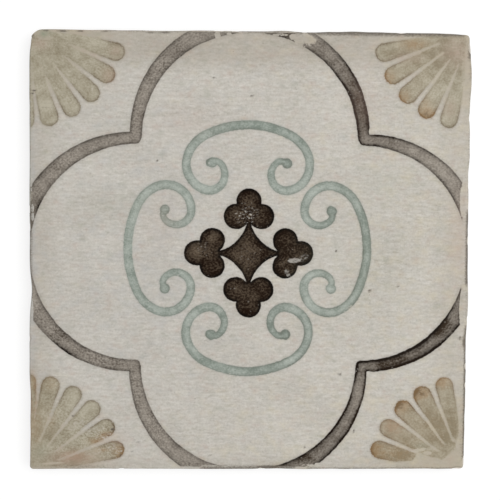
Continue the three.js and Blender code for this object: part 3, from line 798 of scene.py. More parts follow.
def extrude_rim(heights):
    """Draws the sheet's rim up or down by each height in turn and closes the last one with a face."""
    bpy.ops.object.mode_set(mode="EDIT")
    bpy.ops.mesh.select_all(action="SELECT")
    bpy.ops.mesh.region_to_loop()
    for rise in heights:
        bpy.ops.mesh.extrude_edges_move(TRANSFORM_OT_translate={"value": (0, 0, rise * MM)})
    bpy.ops.mesh.edge_face_add()
    bpy.ops.object.mode_set(mode="OBJECT")


def finish_piece(piece, material, slot, *nodes):
    """Smooths, paints and places a finished piece on the part, in place of its nodes."""
    deselect_all()
    piece.select_set(True)
    bpy.context.view_layer.objects.active = piece
    bpy.ops.object.mode_set(mode="EDIT")
    bpy.ops.mesh.select_all(action="SELECT")
    bpy.ops.mesh.normals_make_consistent(inside=False)
    bpy.ops.object.mode_set(mode="OBJECT")
    bpy.ops.object.shade_smooth_by_angle(angle=math.radians(SMOOTH_ANGLE))
    piece.data.materials.append(material)
    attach(piece, "root")
    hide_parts(*nodes)


def spots(x, y, table):
    """Strength at each point of a table of soft spots."""
    total = np.zeros_like(x)
    for centre_x, centre_y, reach_x, reach_y, strength in table:
        away = ((x - centre_x) / reach_x) ** 2 + ((y - centre_y) / reach_y) ** 2
        total += strength * np.exp(-FALL_OFF * away)
    return total


def patches(x, y, table):
    """Strength at each point of a table of patches with a clearer outline, turned by an angle in degrees."""
    total = np.zeros_like(x)
    for centre_x, centre_y, reach_x, reach_y, strength, turn in table:
        lean = math.radians(turn)
        along = (x - centre_x) * math.cos(lean) + (y - centre_y) * math.sin(lean)
        across = (y - centre_y) * math.cos(lean) - (x - centre_x) * math.sin(lean)
        away = np.hypot(along / reach_x, across / reach_y)
        total = np.maximum(total, strength * (1 - smooth((away - PATCH_FULL) / PATCH_FADE)))
    return total


def rim_darkening(x, y):
    """How much darker the rim of the face is at each point."""
    total = np.zeros_like(x)
    for side, start, end, reach, strength in RIM_DARKENING:
        inside, along = side_distance(x, y, side)
        span = smooth((along - start) / RIM_DARK_FADE) * smooth((end - along) / RIM_DARK_FADE)
        total = np.maximum(total, strength * span * (1 - smooth((inside - RIM_DARK_FULL) / reach)))
    return total


def darkening(x, y):
    """How much darker the ground is towards the sides at each point."""
    total = np.zeros_like(x)
    for side, full, gone, strength in SIDES_DARKER:
        inside, _ = side_distance(x, y, side)
        total = np.maximum(total, strength * (1 - smooth((inside - full) / (gone - full))))
    return total


def corner_distance(x, y):
    """How far each point is from the nearest corner of the tile."""
    return np.hypot(HALF_SIDE - np.abs(x), HALF_SIDE - np.abs(y))


def mark_wear(piece):
    """Keeps the stains, the wear and the darker rim and sides of the face as numbers on a piece's vertices.
    """
    x, y, _ = places_of(piece).T
    set_values(piece, "side_dark", darkening(x, y))
    set_values(piece, "cream", spots(x, y, CREAM))
    set_values(piece, "scuffed", spots(x, y, SCUFFED))
    set_values(piece, "haze", HAZE * (1 - smooth((corner_distance(x, y) - HAZE_FULL) / HAZE_FADE)))
    for name, table in (("ochre", OCHRE), ("rust", RUST), ("rose", ROSE), ("moss", MOSS)):
        set_values(piece, name, np.clip(spots(x, y, table), 0, STAIN_MOST))
    set_values(piece, "flaked", patches(x, y, FLAKED))
    set_values(piece, "rubbed", patches(x, y, RUBBED))
    # Dark spots of dirt together with the darkening along the rim
    set_values(piece, "dirt_and_rim_dark", np.clip(spots(x, y, DIRT_AND_RIM_DARK_SPOTS) + rim_darkening(x, y), 0, DIRT_AND_RIM_DARK_MOST))


def feed(tree, socket, value):
    """Links an output to a socket, or sets the socket to a value."""
    if isinstance(value, bpy.types.NodeSocket):
        tree.links.new(value, socket)
    else:
        socket.default_value = value


def add_node(tree, kind, inputs, **settings):
    node = tree.nodes.new(kind)
    for name, value in settings.items():
        setattr(node, name, value)
    for name, value in inputs.items():
        feed(tree, node.inputs[name], value)
    return node


def calc(tree, operation, first, second=0.0, third=0.0):
    inputs = {0: first, 1: second, 2: third} if operation == "MULTIPLY_ADD" else {0: first, 1: second}
    return add_node(tree, "ShaderNodeMath", inputs, operation=operation).outputs[0]


def plus(tree, first, second):
    return calc(tree, "ADD", first, second)


def minus(tree, first, second):
    return calc(tree, "SUBTRACT", first, second)


def times(tree, first, second):
    return calc(tree, "MULTIPLY", first, second)


def scaled(tree, value, factor, rest):
    """A value times a factor, plus the rest."""
    return calc(tree, "MULTIPLY_ADD", value, factor, rest)


def step(tree, value, low, high, start=0.0, end=1.0):
    """A soft step of a value between two others, from start to end."""
    inputs = {"Value": value, "From Min": low, "From Max": high, "To Min": start, "To Max": end}
    return add_node(tree, "ShaderNodeMapRange", inputs, interpolation_type="SMOOTHSTEP").outputs[0]


def mix(tree, share, first, second):
    return add_node(tree, "ShaderNodeMix", {0: share, 6: first, 7: second}, data_type="RGBA").outputs[2]


def mix_value(tree, share, first, second):
    return add_node(tree, "ShaderNodeMix", {0: share, 2: first, 3: second}).outputs[0]


def stretched(tree, place, across, up, apart=0.0):
    """A place on the face scaled so that noise of scale 1 has features across by up millimetres."""
    inputs = {"Vector": place, "Scale": (1 / across, 1 / up, 1), "Location": (apart, 0, 0)}
    return add_node(tree, "ShaderNodeMapping", inputs).outputs[0]


def noise(tree, place, detail=2.0, roughness=0.5, scale=1.0):
    """Cloudy noise of about -0.35 to 0.35."""
    inputs = {"Vector": place, "Scale": scale, "Detail": detail, "Roughness": roughness}
    cloud = add_node(tree, "ShaderNodeTexNoise", inputs).outputs["Fac"]
    return minus(tree, cloud, 0.5)


def mottle(tree, place, across, up, detail, roughness, apart=0.0):
    """Cloudy noise with features across by up millimetres, read some way apart from others."""
    return noise(tree, stretched(tree, place, across, up, apart), detail, roughness)


def specks(tree, place, across, up):
    """Scattered cells of across by up millimetres: how far off their middles are, and a chance for each."""
    inputs = {"Vector": stretched(tree, place, across, up), "Scale": 1.0}
    cells = add_node(tree, "ShaderNodeTexVoronoi", inputs)
    return cells.outputs["Distance"], cells.outputs["Color"]


def attribute(tree, name):
    return add_node(tree, "ShaderNodeAttribute", {}, attribute_name=name).outputs["Fac"]


def flat(colour):
    return (*colour, 1)


def new_group(name, inputs, outputs):
    """An empty node group: its tree, its inputs by name and the sockets its results go to."""
    tree = bpy.data.node_groups.new(name, "ShaderNodeTree")
    for direction, sockets in (("INPUT", inputs), ("OUTPUT", outputs)):
        for label, kind in sockets.items():
            tree.interface.new_socket(name=label, in_out=direction, socket_type=kind)
    start = tree.nodes.new("NodeGroupInput")
    end = tree.nodes.new("NodeGroupOutput")
    return tree, start.outputs, end.inputs


def use_group(tree, name, inputs):
    node = tree.nodes.new("ShaderNodeGroup")
    node.node_tree = bpy.data.node_groups[name]
    for label, value in inputs.items():
        feed(tree, node.inputs[label], value)
    return node.outputs


def face_place(tree):
    """Where a point of the face is, in millimetres, with its height left out."""
    where = add_node(tree, "ShaderNodeTexCoord", {}).outputs["Object"]
    return add_node(tree, "ShaderNodeMapping", {"Vector": where, "Scale": (1 / MM, 1 / MM, 0)}).outputs[0]


def make_stain_group():
    """Stains, dirt and the darkening along the rim over any colour of the face, broken up by noise."""
    inputs = {"Place": VECTOR, "Colour": COLOUR, "Warm": FLOAT}
    tree, given, result = new_group("Stains", inputs, {"Colour": COLOUR})
    tints = colours()
    blot = mottle(tree, given["Place"], 2.2, 1.8, detail=3, roughness=0.65)
    speckle = mottle(tree, given["Place"], 1.1, 0.8, detail=3, roughness=0.7)
    patchy = step(tree, blot, *PATCHES)
    colour = given["Colour"]
    warm = times(tree, given["Warm"], patchy)
    tint = mix(tree, step(tree, warm, *UMBER), flat(tints.ochre), flat(tints.umber))
    colour = mix(tree, times(tree, warm, WARM_STAIN), colour, tint)
    for name, tint in (("rose", tints.rose), ("moss", tints.moss)):
        share = times(tree, times(tree, attribute(tree, name), patchy), FAINT_STAIN)
        colour = mix(tree, share, colour, flat(tint))
    # Dark spots of dirt and the darkening along the rim, broken up by speckle
    dirt = plus(tree, attribute(tree, "dirt_and_rim_dark"), speckle)
    share = step(tree, dirt, *DIRT_AND_RIM_DARK_STEP, end=DIRT_AND_RIM_DARK_HIDING)
    tint = mix(tree, step(tree, dirt, *DARKEST_STEP), flat(tints.dirt_and_rim_dark), flat(tints.darkest_dirt_and_rim))
    feed(tree, result["Colour"], mix(tree, share, colour, tint))


def make_ground_group():
    """The brushed, cloudy ground: its colour and the height of its grain."""
    tree, given, result = new_group("Brushed ground", {"Place": VECTOR}, {"Colour": COLOUR, "Height": FLOAT})
    tints = colours()
    place = given["Place"]
    grain = mottle(tree, place, 3.1, 1.2, detail=2, roughness=0.6)
    dust = mottle(tree, place, 0.9, 0.95, detail=1, roughness=0.5)
    streak = mottle(tree, place, 10.0, 1.4, detail=2, roughness=0.55)
    stroke = mottle(tree, place, 24.0, 1.0, detail=3, roughness=0.6, apart=160)
    cloud = mottle(tree, place, 28, 20, detail=3, roughness=0.5)
    pink = mottle(tree, place, 6.0, 4.6, detail=3, roughness=0.6, apart=40)
    warm = mottle(tree, place, 7.5, 5.5, detail=3, roughness=0.6, apart=80)
    fleck = mottle(tree, place, 0.9, 0.8, detail=1, roughness=0.5, apart=120)
    height = scaled(tree, grain, GRAIN_SHARE, times(tree, dust, DUST_SHARE))
    level = scaled(tree, streak, STREAK_SHARE, height)
    level = scaled(tree, cloud, CLOUD_SHARE, level)
    level = plus(tree, level, step(tree, stroke, *PALE_STROKE, end=STROKE_SHARE))
    level = minus(tree, level, step(tree, stroke, *DARK_STROKE, end=STROKE_SHARE))
    scratch = mottle(tree, place, 3.6, 1.5, detail=3, roughness=0.75, apart=200)
    scuff = times(tree, step(tree, scratch, *SCRATCH), attribute(tree, "scuffed"))
    level = minus(tree, level, times(tree, scuff, SCUFF_SHARE))
    share = plus(tree, level, 0.5)
    colour = mix(tree, share, flat(tints.ground_dark), flat(tints.ground_pale))
    colour = mix(tree, step(tree, fleck, *FLECK, end=FLECK_TINT), colour, flat(tints.dirt_and_rim_dark))
    # The ground is darker towards the sides
    colour = mix(tree, times(tree, attribute(tree, "side_dark"), SIDE_DARK_TINT), colour, flat(tints.side_dark))
    colour = mix(tree, attribute(tree, "haze"), colour, flat(tints.haze))
    warmth = plus(tree, warm, attribute(tree, "cream"))
    hues = ((pink, PINK_FULL, ROSE_TINT, tints.rose), (pink, -PINK_FULL, MOSS_TINT, tints.moss))
    hues += ((warmth, WARMTH_FULL, CREAM_TINT, tints.cream), (warmth, -WARMTH_FULL, COOL_TINT, tints.cool))
    for hue, full, most, tint in hues:
        colour = mix(tree, step(tree, hue, 0.0, full, end=most), colour, flat(tint))
    for (cell, most), tint in ((DARK_SPECKS, tints.dirt_and_rim_dark), (PALE_SPECKS, tints.slip)):
        distance, chance = specks(tree, place, cell, cell)
        inside = minus(tree, distance, times(tree, chance, most))
        colour = mix(tree, step(tree, inside, *SPECK_EDGE, SPECK_TINT, 0.0), colour, flat(tint))
    stained = use_group(tree, "Stains", {"Place": place, "Colour": colour, "Warm": attribute(tree, "rust")})
    feed(tree, result["Colour"], stained["Colour"])
    feed(tree, result["Height"], height)


def make_film_group():
    """Where a printed colour covers the ground and where it is pooled along its outline."""
    inputs = {"Place": VECTOR, **dict.fromkeys(("Spread", "Ragged", "Bleed", "Pool Width", "Pits"), FLOAT)}
    tree, given, result = new_group("Printed film", inputs, {"Cover": FLOAT, "Pool": FLOAT})
    place = given["Place"]
    rough = mottle(tree, place, 1.1, 1.0, detail=2, roughness=0.6)
    shift = scaled(tree, rough, given["Ragged"], given["Spread"])
    edge = plus(tree, attribute(tree, "edge"), shift)
    line = plus(tree, attribute(tree, "line"), shift)
    core = step(tree, edge, *SHARP_EDGE)
    tail = step(tree, edge, *BLED_EDGE)
    cover = mix_value(tree, given["Bleed"], core, tail)
    width = given["Pool Width"]
    broad = step(tree, line, times(tree, width, BROAD_LINE), times(tree, width, LINE_FULL))
    narrow = step(tree, line, times(tree, width, NARROW_LINE), times(tree, width, LINE_FULL))
    pool = mix_value(tree, NARROW_POOLING, broad, narrow)
    slow = mottle(tree, place, 6, 6, detail=3, roughness=0.6)
    pool = times(tree, pool, scaled(tree, slow, *SLOW_POOLING))
    pool = times(tree, pool, scaled(tree, rough, *ROUGH_POOLING))

    flakes = mottle(tree, place, 1.6, 1.0, detail=3, roughness=0.7)
    bare = step(tree, scaled(tree, attribute(tree, "flaked"), FLAKE_HOLD, flakes), *FLAKE)
    rubbed = attribute(tree, "rubbed")
    worn = step(tree, scaled(tree, flakes, RUB_HOLD, rubbed), *RUB)
    thin = times(tree, worn, scaled(tree, rubbed, *RUB_LOSS))
    distance, chance = specks(tree, place, *PIT_CELLS)
    size = minus(tree, times(tree, chance, PIT_SPREAD), PIT_CUT)
    pitted = step(tree, minus(tree, distance, size), *PIT_EDGE)
    pitted = times(tree, pitted, given["Pits"])
    for loss in (bare, thin, pitted):
        cover = times(tree, cover, minus(tree, 1.0, loss))
    feed(tree, result["Cover"], cover)
    feed(tree, result["Pool"], pool)


def make_pigment_group():
    """Uneven printed colour: cloudy, grainy and darker where it was laid on thickly."""
    inputs = {"Place": VECTOR, "Colour": COLOUR, "Dark": COLOUR}
    inputs.update(dict.fromkeys(("Cloud", "Grain", "Shade", "Lines"), FLOAT))
    tree, given, result = new_group("Uneven pigment", inputs, {"Colour": COLOUR, "Height": FLOAT})
    place = given["Place"]
    cloud = mottle(tree, place, 4.5, 4.0, detail=3, roughness=0.55)
    grain = mottle(tree, place, 0.95, 0.85, detail=2, roughness=0.65)
    level = scaled(tree, cloud, given["Cloud"], given["Shade"])
    coarse = scaled(tree, attribute(tree, "weathered"), WORN_GRAIN, given["Grain"])
    level = scaled(tree, grain, coarse, level)
    apart = scaled(tree, attribute(tree, "line"), LINE_TURNS, times(tree, cloud, LINE_WAVES))
    lines = times(tree, calc(tree, "SINE", apart), step(tree, attribute(tree, "line"), *LINE_FADE))
    level = scaled(tree, lines, given["Lines"], level)
    feed(tree, result["Colour"], mix(tree, level, given["Colour"], given["Dark"]))
    feed(tree, result["Height"], grain)


def new_material(name, roughness, sheen=SHEEN):
    material = bpy.data.materials.new(name)
    material.use_nodes = True
    tree = material.node_tree
    shader = tree.nodes["Principled BSDF"]
    shader.inputs["Roughness"].default_value = roughness
    shader.inputs["Specular IOR Level"].default_value = sheen
    return material, tree, shader


def bump(tree, shader, height, depth):
    """Raises the surface by a height times a depth in millimetres."""
    raised = add_node(tree, "ShaderNodeBump", {"Height": height, "Strength": 1.0, "Distance": depth * MM})
    feed(tree, shader.inputs["Normal"], raised.outputs["Normal"])


def vary_roughness(tree, shader, height, reach, mean):
    """Makes the surface smoother where its grain stands higher."""
    rough = step(tree, height, -reach, reach, mean + ROUGHNESS_SPREAD, mean - ROUGHNESS_SPREAD)
    feed(tree, shader.inputs["Roughness"], rough)


def ground_material():
    material, tree, shader = new_material("Brushed ground coat", GROUND_ROUGHNESS)
    ground = use_group(tree, "Brushed ground", {"Place": face_place(tree)})
    feed(tree, shader.inputs["Base Color"], ground["Colour"])
    vary_roughness(tree, shader, ground["Height"], GROUND_HEIGHTS, GROUND_ROUGHNESS)
    bump(tree, shader, ground["Height"], GROUND_BUMP)
    return material


def printed_material(group):
    """A printed colour over the ground, which shows past its edges and where it is worn."""
    name, pigment, spread, pooling, sheen = LOOKS[group]
    material, tree, shader = new_material(name, PRINT_ROUGHNESS, sheen)
    thin, thick, edge = (flat(getattr(colours(), group + end)) for end in ("", "_dark", "_edge"))
    place = face_place(tree)
    ground = use_group(tree, "Brushed ground", {"Place": place})
    width = scaled(tree, attribute(tree, "inky"), INKY_WIDTH, spread["Pool Width"])
    film = use_group(tree, "Printed film", {**spread, "Place": place, "Pool Width": width})
    shade = plus(tree, attribute(tree, "shade"), pigment["Shade"])
    inputs = {**pigment, "Place": place, "Colour": thin, "Dark": thick, "Shade": shade}
    colour = use_group(tree, "Uneven pigment", inputs)
    depth = scaled(tree, attribute(tree, "shade"), SHADE_POOLING, attribute(tree, "inky"))
    depth = plus(tree, depth, pooling)
    pooled = mix(tree, times(tree, film["Pool"], depth), colour["Colour"], edge)
    warm = times(tree, attribute(tree, "ochre"), step(tree, film["Pool"], *WARM_IN_POOLS))
    stained = use_group(tree, "Stains", {"Place": place, "Colour": pooled, "Warm": warm})
    feed(tree, shader.inputs["Base Color"], mix(tree, film["Cover"], ground["Colour"], stained["Colour"]))
    vary_roughness(tree, shader, colour["Height"], PRINT_HEIGHTS, PRINT_ROUGHNESS)
    bump(tree, shader, ground["Height"], GROUND_BUMP)
    return material


def clay_material():
    """Fired clay, with pale slip rubbed on the ribs of the back and run over the top of the sides."""
    material, tree, shader = new_material("Fired clay", CLAY_ROUGHNESS)
    tints = colours()
    where = add_node(tree, "ShaderNodeTexCoord", {}).outputs["Object"]
    place = add_node(tree, "ShaderNodeVectorMath", {0: where, "Scale": 1 / MM}, operation="SCALE").outputs[0]
    height = add_node(tree, "ShaderNodeSeparateXYZ", {0: place}).outputs["Z"]
    fine = noise(tree, place, detail=3, roughness=0.65, scale=1.6)
    cloud = noise(tree, place, detail=2, roughness=0.5, scale=0.08)
    level = scaled(tree, fine, CLAY_FINE, times(tree, cloud, CLAY_CLOUD))
    deep = [value * CLAY_DARK for value in tints.clay]
    colour = mix(tree, step(tree, level, *CLAY_MARK), flat(tints.clay), flat(deep))
    drips = noise(tree, place, detail=2, roughness=0.6, scale=0.35)
    drip = scaled(tree, drips, SLIP_DRIPS, height)
    wiped = times(tree, step(tree, height, RIB_WIPE, 0.0), step(tree, fine, *RIB_GRAIN))
    slip = calc(tree, "MAXIMUM", step(tree, drip, SLIP_START, SLIP_FULL), wiped)
    colour = mix(tree, times(tree, slip, SLIP_COVER), colour, flat(tints.slip))
    feed(tree, shader.inputs["Base Color"], colour)
    bump(tree, shader, fine, CLAY_BUMP)
    return material


def key_lines():
    """Places of the mesh lines across the back, set close at the recesses' walls."""
    lines = [-HALF_SIDE + ring for ring in BACK_RINGS]
    lines += even_places(-HALF_SIDE + BACK_EVEN, -HALF_SIDE + KEY_BORDER, BACK_STEP)
    for key in range(KEYS_PER_SIDE):
        start = -HALF_SIDE + KEY_BORDER + key * KEY_PITCH
        end = start + KEY_PITCH - KEY_RIB
        lines += [start + offset for offset in KEY_WALL_LINES[:-1]]
        lines += even_places(start + KEY_WALL, end - KEY_WALL, BACK_STEP)
        lines += [end - offset for offset in reversed(KEY_WALL_LINES[1:])]
        if key < KEYS_PER_SIDE - 1:
            lines += even_places(end, end + KEY_RIB, BACK_STEP)
    left = [line for line in lines if line < -BACK_STEP / 2]
    return left + [-line for line in reversed(left)]


def rounding(radius, inside):
    """How far a rounded edge drops at a distance in from the outline."""
    over = np.maximum(radius - inside, 0)
    return radius - np.sqrt(np.maximum(radius**2 - over**2, 0))


def recess_height(x, y):
    """How far the back is pressed in at each point."""
    depths = []
    for across in (x, y):
        along = (across + HALF_SIDE - KEY_BORDER) / KEY_PITCH
        key = np.clip(np.floor(along), 0, KEYS_PER_SIDE - 1)
        inside = (along - key) * KEY_PITCH
        depths.append(np.minimum(inside, KEY_PITCH - KEY_RIB - inside))
    return KEY_DEPTH * smooth(np.minimum(*depths) / KEY_WALL)


class TILE_OT_clay_body(bpy.types.Operator):
    """Model the fired clay slab: its keyed back, rounded lower edge and rough sides"""

    bl_idname = "tile.clay_body"
    bl_label = "Clay body"

    def execute(self, context):
        slab = add_sheet("clay_slab", key_lines())
        places = places_of(slab)
        round_corners(places)
        x, y = places[:, 0].copy(), places[:, 1].copy()
        inside = np.maximum(rim_distance(x, y), 0)
        rise, length, seed = BACK_SWELL
        uneven = rise * (ripple(x, y, length, seed) + 1) * smooth(inside / BACK_CALM)
        pressed = np.maximum(recess_height(x, y) + ripples(x, y, BACK_RIPPLES), 0)
        places[:, 2] = rounding(BACK_EDGE_RADIUS, inside) + pressed + uneven
        wave_outline(places)
        set_places(slab, places)

        extrude_rim([(COAT_FOOT - BACK_EDGE_RADIUS) / SIDE_ROWS] * SIDE_ROWS)
        self.roughen_sides(slab)
        finish_piece(slab, clay_material(), "clay", "clay_body")
        return {"FINISHED"}

    def roughen_sides(self, slab):
        """Pits and drags the unglazed sides a little inwards."""
        places = places_of(slab)
        x, y, z = places.T
        on_side = smooth(z - BACK_EDGE_RADIUS) * (rim_distance(x, y) < SIDE_DEPTH)
        drags = ripples(x + 3 * z, y - 2 * z, SIDE_DRAGS)
        depth = sizes().roughness / MM * (drags + ripples(x, y + z, SIDE_PITS) + 1)
        away = np.where(np.abs(x) > np.abs(y), np.sign(x), 0), np.where(np.abs(y) >= np.abs(x), np.sign(y), 0)
        places[:, 0] -= away[0] * depth * on_side
        places[:, 1] -= away[1] * depth * on_side
        set_places(slab, places)


class TILE_OT_ground_coat(bpy.types.Operator):
    """Model the ground coat: its swelling face, rounded rim and chips"""

    bl_idname = "tile.ground_coat"
    bl_label = "Ground coat"

    def execute(self, context):
        left = [-HALF_SIDE + ring for ring in COAT_RINGS] + even_places(-HALF_SIDE + COAT_EVEN, 0, COAT_STEP)
        coat = add_sheet("face_coat", left + [0] + [-line for line in reversed(left)])
        places = places_of(coat)
        round_corners(places)
        x, y = places[:, 0].copy(), places[:, 1].copy()
        inside = np.maximum(rim_distance(x, y), 0)
        chips = chip_depth(x, y)
        broken = CHIP_DROP * smooth(1 - inside / np.maximum(chips * CHIP_SLOPE, TINY)) * (chips > 0)
        top = face_height(x, y) - rounding(RIM_RADIUS, inside) - broken
        places[:, 2] = np.maximum(top, COAT_FOOT + COAT_LEAST)
        wave_outline(places)
        for side, (axis, sign, _) in SIDES.items():
            near, _ = side_distance(x, y, side)
            places[:, axis] -= sign * (1 - smooth(near / CHIP_REACH)) * chips
        set_places(coat, places)

        extrude_rim([-(FACE - COAT_FOOT)])
        places = places_of(coat)
        places[:, 2] = np.maximum(places[:, 2], COAT_FOOT)
        set_places(coat, places)
        mark_wear(coat)
        finish_piece(coat, ground_material(), "ground", "ground_coat")
        return {"FINISHED"}


def colour_field(node):
    """The tops, the walls and the outline walls of a printed node, for finding how far a point is from them.

    Walls along the tile's own sides are where the print is cut off, so they aren't part of its drawn outline.
    """
    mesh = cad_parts[node].data
    corners = [vertex.co.copy() for vertex in mesh.vertices]
    tops, walls, outline = [], [], []
    for face in mesh.polygons:
        if face.normal.z > UP_FACING:
            tops.append(tuple(face.vertices))
        elif face.normal.z > -UP_FACING:
            walls.append(tuple(face.vertices))
            middle = face.center / MM
            near_side = rim_distance(np.array([middle.x]), np.array([middle.y]))[0] < CUT_NEAR
            straight = max(abs(face.normal.x), abs(face.normal.y)) > CUT_STRAIGHT
            at_corner = min(abs(middle.x), abs(middle.y)) > HALF_SIDE - CUT_CORNER
            if not (near_side and (straight or at_corner)):
                outline.append(tuple(face.vertices))
    return [BVHTree.FromPolygons(corners, faces) for faces in (tops, walls, outline)]


def outline_distances(node, x, y):
    """How far each point is outside a node's edge and its drawn outline, and the nearest place on its edge.

    Inside, both distances are less than 0.
    """
    tops, walls, outline = colour_field(node)
    low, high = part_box(node)
    level = (low.z + high.z) / 2
    edge = np.full(len(x), np.inf)
    line = np.full(len(x), np.inf)
    nearest = np.zeros((len(x), 2))
    for i, (across, up) in enumerate(zip(x * MM, y * MM)):
        covered = tops.ray_cast((across, up, high.z + MM), (0, 0, -1))[0] is not None
        spot, _, _, gap = walls.find_nearest((across, up, level))
        if gap / MM > FILM_FAR and not covered:
            continue
        sign = -1 if covered else 1
        edge[i] = sign * gap / MM
        line[i] = sign * outline.find_nearest((across, up, level))[3] / MM
        nearest[i] = spot.x / MM, spot.y / MM
    if node.startswith("scroll"):
        for ball_x, ball_y in BALLS:
            ball = np.hypot(x - ball_x, y - ball_y) - BALL_REACH
            edge = np.minimum(edge, np.where(ball < FILM_FAR, ball, np.inf))
            line = np.minimum(line, np.where(ball < FILM_FAR, ball, np.inf))
    return edge, line, nearest


def keep_on_face(places):
    """Draws vertices that lie past the flat of the face back to it."""
    for side, (axis, sign, _) in SIDES.items():
        limit = HALF_SIDE - RIM_RADIUS - np.maximum(edge_wave(places[:, 1 - axis], side), 0)
        places[:, axis] = sign * np.minimum(sign * places[:, axis], limit)
    for sides, radius, across, up in corner_offsets(*places[:, :2].T):
        away = np.maximum(np.hypot(across, up), TINY)
        past = (across > 0) & (up > 0) & (away > radius - RIM_RADIUS)
        draw_to_corner(places, sides, radius, (across, up), past, (radius - RIM_RADIUS) / away)


def swayed(x, y):
    """Points shifted by the unsteadiness and the slips of the printing."""
    wobble = sizes().wobble / MM
    sway_x = wobble * ripples(x, y, *PRINT_RIPPLES_ACROSS)
    sway_y = wobble * ripples(x, y, *PRINT_RIPPLES_UP)
    for centre_x, centre_y, reach_x, reach_y, right, up in SLIPS:
        hold = np.exp(-((((x - centre_x) / reach_x) ** 2 + ((y - centre_y) / reach_y) ** 2) ** 2))
        sway_x -= right * hold
        sway_y -= up * hold
    return x + sway_x, y + sway_y


def petal_root(x, y):
    """1 in the palm of a fan and 0 towards its petals' tips."""
    return 1 - smooth((corner_distance(x, y) - ROOT_FULL) / ROOT_FADE)


def add_film_sheet(name, low, high):
    """A flat grid over a printed node's box and the rim round it."""
    spare = FILM_MARGIN + FILM_STEP
    columns = math.ceil((high.x - low.x + 2 * spare) / FILM_STEP)
    rows = math.ceil((high.y - low.y + 2 * spare) / FILM_STEP)
    film, places = add_grid(name, columns, rows)
    middle = (low + high) / 2
    places[:, 0] = middle.x + places[:, 0] * columns * FILM_STEP / 2
    places[:, 1] = middle.y + places[:, 1] * rows * FILM_STEP / 2
    keep_on_face(places)
    set_places(film, places)
    return film


def delete_faces(piece, doomed):
    """Deletes the marked faces of a piece."""
    mesh = piece.data
    mesh.vertices.foreach_set("select", np.zeros(len(mesh.vertices), bool))
    mesh.edges.foreach_set("select", np.zeros(len(mesh.edges), bool))
    mesh.polygons.foreach_set("select", doomed)
    bpy.context.tool_settings.mesh_select_mode = (False, False, True)
    bpy.ops.object.mode_set(mode="EDIT")
    bpy.ops.mesh.delete(type="FACE")
    bpy.context.tool_settings.mesh_select_mode = (True, False, False)
    bpy.ops.object.mode_set(mode="OBJECT")


def print_film(node, material, slot, shade_table):
    """Models one printed colour: a thin film with soft edges that follows its node's outline."""
    low, high = (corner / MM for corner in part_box(node))
    film = add_film_sheet("printed_" + node, low, high)
    places = places_of(film)
    x, y = swayed(places[:, 0], places[:, 1])
    edge, _, nearest = outline_distances(node, x, y)
    outer = edge > FILM_MARGIN
    found = outer & np.isfinite(edge)
    back = ((edge[found] - FILM_MARGIN) / edge[found])[:, None]
    places[found, :2] += (nearest[found] - np.column_stack([x, y])[found]) * back
    keep_on_face(places)
    set_places(film, places)
    delete_faces(film, np.array([all(outer[i] for i in face.vertices) for face in film.data.polygons]))

    # The upper skin is lifted far off at first, which tells it from the lower one
    bpy.ops.object.mode_set(mode="EDIT")
    bpy.ops.mesh.select_all(action="SELECT")
    bpy.ops.mesh.extrude_region_move(TRANSFORM_OT_translate={"value": (0, 0, FILM_LIFT * MM)})
    bpy.ops.object.mode_set(mode="OBJECT")
    places = places_of(film)
    x, y = places[:, 0], places[:, 1]
    edge, line, _ = outline_distances(node, *swayed(x, y))
    edge = np.minimum(edge, FILM_FAR)
    colour = sizes().film / MM * smooth((FILM_RISE_START - edge) / FILM_RISE)
    thickness = FILM_RIM - FILM_THINNING * edge / FILM_FAR + colour
    upper = places[:, 2] > FILM_LIFT / 2
    places[:, 2] = face_height(x, y) + np.where(upper, thickness, -FILM_SINK)
    set_places(film, places)

    run = spots(x, y, RUN)
    line = np.minimum(line, FILM_FAR) - run
    inky = spots(x, y, INKY)
    if slot == "fan_khaki":
        line -= ROOT_EASE * petal_root(x, y)
        inky = spots(x, y, FAN_TIPS) + FAN_INK * inky
    set_values(film, "edge", edge - run)
    set_values(film, "line", line)
    set_values(film, "shade", np.clip(spots(x, y, shade_table), -1, 1))
    set_values(film, "inky", inky)
    set_values(film, "weathered", spots(x, y, WEATHERED))
    mark_wear(film)
    finish_piece(film, material, slot, node)


class TILE_OT_band(bpy.types.Operator):
    """Print the grey quatrefoil band: one bracket in each corner"""

    bl_idname = "tile.band"
    bl_label = "Quatrefoil band"

    def execute(self, context):
        material = printed_material("band")
        for corner in ("top_right", "top_left", "bottom_left", "bottom_right"):
            print_film("band_" + corner, material, "band_grey", BAND_SHADE)
        return {"FINISHED"}


class TILE_OT_scrolls(bpy.types.Operator):
    """Print the four grey-green scrolls"""

    bl_idname = "tile.scrolls"
    bl_label = "Scrolls"

    def execute(self, context):
        material = printed_material("scroll")
        for side in ("top", "left", "bottom", "right"):
            print_film("scroll_" + side, material, "scroll_green", SCROLL_SHADE)
        return {"FINISHED"}


class TILE_OT_cross(bpy.types.Operator):
    """Print the dark trefoil cross"""

    bl_idname = "tile.cross"
    bl_label = "Trefoil cross"

    def execute(self, context):
        print_film("trefoil_cross", printed_material("cross"), "cross_brown", CROSS_SHADE)
        return {"FINISHED"}


class TILE_OT_fans(bpy.types.Operator):
    """Print the khaki fans of petals in the corners"""

    bl_idname = "tile.fans"
    bl_label = "Corner fans"

    def execute(self, context):
        material = printed_material("fan")
        for node in (
            "fan_top_left",
            "fan_top_right",
            "fan_bottom_right",
            "petal_bottom_right",
            "fan_bottom_left",
        ):
            print_film(node, material, "fan_khaki", FAN_SHADE)
        return {"FINISHED"}


